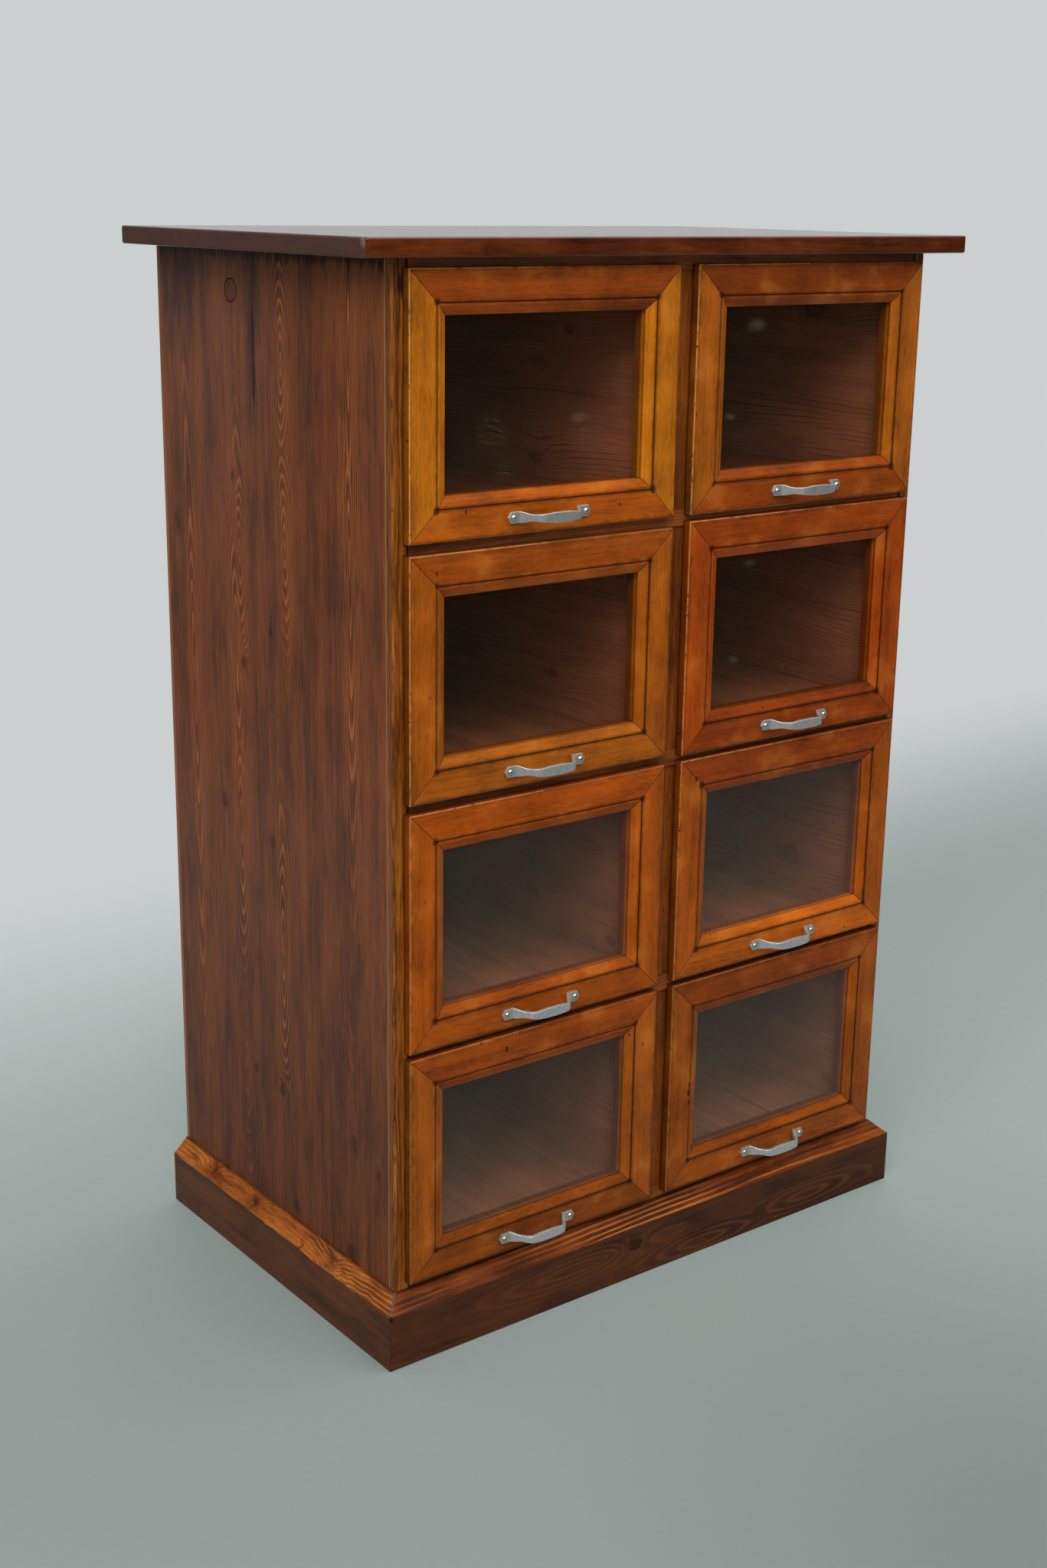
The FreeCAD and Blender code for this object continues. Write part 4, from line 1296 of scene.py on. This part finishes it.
@dataclass(frozen=True)
class PaneFinish(Finish):
    """Clear glass with a light haze of dust, more of it towards the lower corner."""

    drawer: Drawer
    dust: Colour = paint(150, 136, 108)
    white: Colour = (1.0, 1.0, 1.0)
    clean_side: float = 18 * MM
    clean_foot: float = 8 * MM
    smudge_width: float = 2.0
    smudge_haze: float = 0.06
    grime_haze: float = 0.1
    glass_index: float = 1.45

    def haze(self, recipe: Recipe) -> Signal:
        """How much the dust hides.

        Args:
            recipe: The tree to add to.

        Returns:
            A share from 0 up.
        """
        look, box = self.drawer.look, self.drawer.box("glass")
        x, y, z = recipe.axes
        dust = recipe.noise((x * 26, y, z * 26), 4.0)
        low = (box.high.z - z + (box.high.x - x) * 0.3) / (2 * box.half.z)
        inset = (box.high.x - x - self.clean_side).least(z - box.low.z - self.clean_foot)
        haze = look.haze * (0.3 + low * 0.7) * (0.4 + dust * 1.2)
        haze = haze * (0.25 + inset.rise(0.0, 16 * MM) * 0.75)
        if look.smudges:
            wide = self.smudge_width
            wiped = [Spot((m.place[0] / wide, m.place[1], 0.0), m.radius / wide)
                     for m in look.smudges]
            wipe = recipe.nearest((x / wide, z), wiped) + (dust - 0.5)
            haze = haze + wipe.rise(1.8, 0.2) * self.smudge_haze
        if look.grime:
            crumb = recipe.noise((x * 560, y, z * 560), 1.0).rise(0.58, 0.68)
            patch = recipe.nearest((x, z), look.grime) + (dust - 0.5) * 1.6
            haze = haze + crumb * patch.rise(1.2, 0.5) * self.grime_haze
        return haze.most(0.0)

    def material(self) -> bpy.types.Material:
        """Builds the material.

        Returns:
            The material of the pane.
        """
        recipe = Recipe(f"{self.drawer.name} pane")
        haze = self.haze(recipe)
        clear = recipe.add("ShaderNodeBsdfTransparent", inputs={"Color": self.white})
        veil = recipe.add("ShaderNodeBsdfDiffuse", inputs={"Color": self.dust})
        hazy = recipe.add("ShaderNodeMixShader", inputs={0: haze, 1: clear, 2: veil})
        mirror = {"Color": self.white, "Roughness": 0.03}
        shine = recipe.add("ShaderNodeBsdfGlossy", inputs=mirror)
        edge = recipe.add("ShaderNodeFresnel", inputs={"IOR": self.glass_index})
        # Only the faces that are seen from outside the glass are mirrors.
        edge = edge * (1 - recipe.add("ShaderNodeNewGeometry", output="Backfacing"))
        return recipe.end(recipe.add("ShaderNodeMixShader", inputs={0: edge, 1: hazy, 2: shine}))


@dataclass(frozen=True)
class BoxFinish(Finish):
    """Pine inside the drawer."""

    drawer: Drawer
    back_wall: float = 10.5 * MM
    bottom: float = 12 * MM

    def material(self) -> bpy.types.Material:
        """Builds the material.

        Returns:
            The material of the drawer's box.
        """
        recipe = Recipe(f"{self.drawer.name} box")
        x, y, z = recipe.axes
        box = self.drawer.box("box")
        back = y > box.high.y - self.back_wall
        floor = z < box.low.z + self.bottom
        grain = Grain(recipe.choose(back, y, x), recipe.choose(floor, z, x), x)
        timber = replace(Wood.INSIDE.value, seed=30.0 + 3.7 * self.drawer.seed,
                         knots=self.drawer.look.knots)
        colour, height = timber.figure(recipe, grain)
        return recipe.finish(colour, 0.6, height, 0.02 * MM, Specular_IOR_Level=0.15)


@dataclass(frozen=True)
class HandleFinish(Finish):
    """Cast aluminium, tarnished at the feet, more so lower down."""

    drawer: Drawer
    bright: Colour = paint(202, 204, 204)
    dull: Colour = paint(148, 149, 148)
    tarnish: Colour = paint(150, 132, 92)

    def material(self) -> bpy.types.Material:
        """Builds the material.

        Returns:
            The material of the handle.
        """
        recipe = Recipe(f"{self.drawer.name} handle")
        box = self.drawer.box("handle")
        foot = (abs(recipe.axes[0] - box.middle.x) / box.half.x).rise(0.66, 0.8)
        cloud = recipe.noise([axis * 400 for axis in recipe.axes], 3.0)
        colour = recipe.layer(
            self.bright,
            (cloud.rise(0.4, 0.75) * 0.4, self.dull),
            (foot * 0.1 * self.drawer.row, self.tarnish),
        )
        return recipe.finish(
            colour, 0.3 + cloud * 0.2, cloud, 0.05 * MM, arris=0.4 * MM, Metallic=0.75)


@dataclass(frozen=True)
class ScrewFinish(Finish):
    """Bright steel with dull scratches."""

    drawer: Drawer
    bright: Colour = paint(214, 212, 204)
    dull: Colour = paint(120, 112, 96)

    def material(self) -> bpy.types.Material:
        """Builds the material.

        Returns:
            The material of the screws.
        """
        recipe = Recipe(f"{self.drawer.name} screws")
        x, y, z = recipe.axes
        scratch = recipe.noise((x * 3000, y * 600, z * 3000), 2.0)
        colour = recipe.mix(scratch.rise(0.5, 0.8) * 0.5, self.bright, self.dull)
        return recipe.finish(colour, 0.22 + scratch * 0.15, Metallic=1.0)


@dataclass
class Drawer:
    """One drawer: glazed front, box, handle and screws."""

    side: Side
    row: int
    nodes: Mapping[str, bpy.types.Object]

    @property
    def name(self) -> str:
        """The drawer's body."""
        return f"{self.side.value}_drawer_{self.row}"

    @property
    def look(self) -> DrawerLook:
        """What sets it apart."""
        return DRAWER_LOOKS[self.side, self.row]

    @property
    def seed(self) -> float:
        """Sets its grain apart from the other drawers'."""
        return self.row + (4.0 if self.side is Side.RIGHT else 0.0)

    def box(self, piece: str) -> Outline:
        """The box of one of its pieces."""
        return Outline.of(f"{self.name}_{piece}")

    def dress(self) -> None:
        """Gives every piece of the drawer its finish."""
        finishes = {
            ("front_frame", "glazing_bead"): FrontFinish(self),
            ("glass",): PaneFinish(self),
            ("box",): BoxFinish(self),
            ("handle",): HandleFinish(self),
            ("screws",): ScrewFinish(self),
        }
        for pieces, finish in finishes.items():
            finish.dress(*(self.nodes[f"{self.name}_{piece}"] for piece in pieces))


@dataclass(frozen=True)
class FloorFinish(Finish):
    """Painted floor fading into the surround; painted light makes it lighter towards the back
    left.

    It fades between two distances from the middle, and sooner behind the cabinet. Sight is the
    direction in which the viewer looks along it.
    """

    surround: Colour
    floor: Colour = paint(144, 154, 150)
    fade: Span = (3.5, 6.5)
    back_fade: Span = (0.4, 1.3)
    sight: tuple[float, float] = (0.61, 0.79)

    def material(self) -> bpy.types.Material:
        """Builds the material.

        Returns:
            The material of the floor.
        """
        recipe = Recipe("painted floor")
        x, y, _ = recipe.axes
        away = (x * x + y * y).root()
        speck = recipe.noise((x * 120, y * 120), 3.0)
        ahead = x * self.sight[0] + y * self.sight[1]
        # Painted light: darker towards the viewer and towards the front right.
        painted_light = 1.2 - ahead.rise(0.25, -0.65) * 0.42 - (x - y).rise(0.0, 0.7) * 0.2
        painted = {"Base Color": recipe.strength(self.floor, painted_light * (0.97 + speck * 0.06)),
                   "Roughness": 0.7}
        near = recipe.add("ShaderNodeBsdfPrincipled", inputs=painted)
        glow = {"Color": self.surround, "Strength": 1.0}
        far = recipe.add("ShaderNodeEmission", inputs=glow)
        share = away.rise(*self.fade).most(y.rise(*self.back_fade))
        return recipe.end(recipe.add("ShaderNodeMixShader", inputs={0: share, 1: near, 2: far}))


@dataclass(frozen=True)
class ScreenFinish(Finish):
    """An even dark glow."""

    colour: Colour = paint(46, 43, 40)

    def material(self) -> bpy.types.Material:
        """Builds the material."""
        recipe = Recipe("dark screen")
        return recipe.end(recipe.add("ShaderNodeEmission", inputs={"Color": self.colour}))


@dataclass(frozen=True)
class Lamp:
    """A soft rectangular lamp."""

    name: str
    place: Point
    width: float
    height: float
    power: float
    aim: Point = (0.0, 0.0, 0.5)

    def build(self) -> None:
        """Makes the lamp and turns it to its aim."""
        light = bpy.data.lights.new(self.name, "AREA")
        light.shape = "RECTANGLE"
        light.size, light.size_y = self.width, self.height
        light.energy = self.power
        lamp = bpy.data.objects.new(self.name, light)
        lamp.location = self.place
        ray = Vector(self.aim) - lamp.location
        lamp.rotation_mode = "QUATERNION"
        lamp.rotation_quaternion = ray.to_track_quat("-Z", "Y")
        bpy.context.collection.objects.link(lamp)


@dataclass
class Studio:
    """Plain pale floor, soft lamps and an even pale surround.

    The dark screen stands round the front and the left. Only mirrors see it: it keeps the panes
    clear.
    """

    surround: Colour = paint(203, 207, 208)
    floor_radius: float = 9.0
    floor_steps: int = 96
    screen_turn: Span = (math.radians(100), math.radians(358))
    screen_steps: int = 48
    screen_profile: Sequence[tuple[float, float]] = ((2.1, 0.004), (6.0, 0.004), (6.0, 4.0))
    lamps: Sequence[Lamp] = (
        Lamp("key lamp", (-2.4, -2.2, 3.4), 2.6, 2.6, 115.0),
        Lamp("top lamp", (0.6, -0.6, 3.4), 3.0, 3.0, 60.0))

    def build(self) -> None:
        """Makes the surround, the floor, the screen and the lamps."""
        world = bpy.data.worlds.new("pale surround")
        bpy.context.scene.world = world
        world.use_nodes = True
        shade = world.node_tree.nodes["Background"]
        shade.inputs["Color"].default_value = (*self.surround, 1.0)
        shade.inputs["Strength"].default_value = 1.0
        self.make_floor()
        self.make_dark_screen()
        for lamp in self.lamps:
            lamp.build()

    def make_floor(self) -> None:
        """A round floor."""
        turns = [2 * math.pi * i / self.floor_steps for i in range(self.floor_steps)]
        rim = [(self.floor_radius * math.cos(turn), self.floor_radius * math.sin(turn), 0.0)
               for turn in turns]
        faces = [tuple(range(self.floor_steps))]
        floor = self.make_sheet("floor", rim, faces, FloorFinish(self.surround))

    def make_dark_screen(self) -> None:
        """A bent screen that the camera doesn't see."""
        first, last = self.screen_turn
        steps = self.screen_steps
        turns = [first + (last - first) * i / steps for i in range(steps + 1)]
        corners = [(radius * math.cos(turn), radius * math.sin(turn), height)
                   for turn in turns for radius, height in self.screen_profile]
        faces = [(3 * i + k, 3 * i + k + 1, 3 * i + k + 4, 3 * i + k + 3)
                 for i in range(steps) for k in (0, 1)]
        screen = self.make_sheet("dark_screen", corners, faces, ScreenFinish())
        screen.visible_camera = screen.visible_diffuse = screen.visible_shadow = False
        screen.visible_transmission = False

    @staticmethod
    def make_sheet(
        name: str, corners: Sequence[Point], faces: Sequence[tuple[int, ...]], finish: Finish
    ) -> bpy.types.Object:
        """A sheet of the stage.

        Args:
            name: Its name.
            corners: Its corners.
            faces: Its faces.
            finish: Its finish.

        Returns:
            The sheet.
        """
        mesh = bpy.data.meshes.new(name)
        mesh.from_pydata(corners, [], faces)
        sheet = bpy.data.objects.new(name, mesh)
        bpy.context.collection.objects.link(sheet)
        finish.dress(sheet)
        return sheet


@dataclass
class Viewpoint:
    """The camera, at the angle of the photograph: angles in radians, lens and film in mm."""

    place: Point = (-1.2404, -1.57475, 1.0463)
    yaw: float = -0.6553
    pitch: float = -0.2839
    roll: float = 0.0147
    lens: float = 46.70
    film: float = 36.0

    def build(self) -> None:
        """Makes the camera the scene's own."""
        sight = bpy.data.cameras.new("viewpoint")
        sight.lens = self.lens
        sight.sensor_fit = "VERTICAL"
        sight.sensor_width = self.film
        sight.sensor_height = self.film
        camera = bpy.data.objects.new("viewpoint", sight)
        ahead = Vector((-math.sin(self.yaw) * math.cos(self.pitch),
                        math.cos(self.yaw) * math.cos(self.pitch), math.sin(self.pitch)))
        level = ahead.cross(Vector((0, 0, 1))).normalized()
        upright = level.cross(ahead)
        right = level * math.cos(self.roll) + upright * math.sin(self.roll)
        up = upright * math.cos(self.roll) - level * math.sin(self.roll)
        turn = Matrix((right, up, -ahead)).transposed().to_4x4()
        camera.matrix_world = Matrix.Translation(self.place) @ turn
        bpy.context.collection.objects.link(camera)
        bpy.context.scene.camera = camera


def main() -> None:
    """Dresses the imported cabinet, lights it and points the camera at it."""
    logging.basicConfig(level=logging.INFO, format="%(name)s: %(message)s")
    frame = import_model()
    nodes = frame["nodes"]
    Viewpoint().build()
    Studio().build()
    Case(nodes).dress()
    WornPlinth().build()
    for side in (Side.LEFT, Side.RIGHT):
        for row in ROWS:
            Drawer(side, row, nodes).dress()
    bpy.context.scene.view_settings.view_transform = "Standard"


if __name__ == "__main__":
    main()
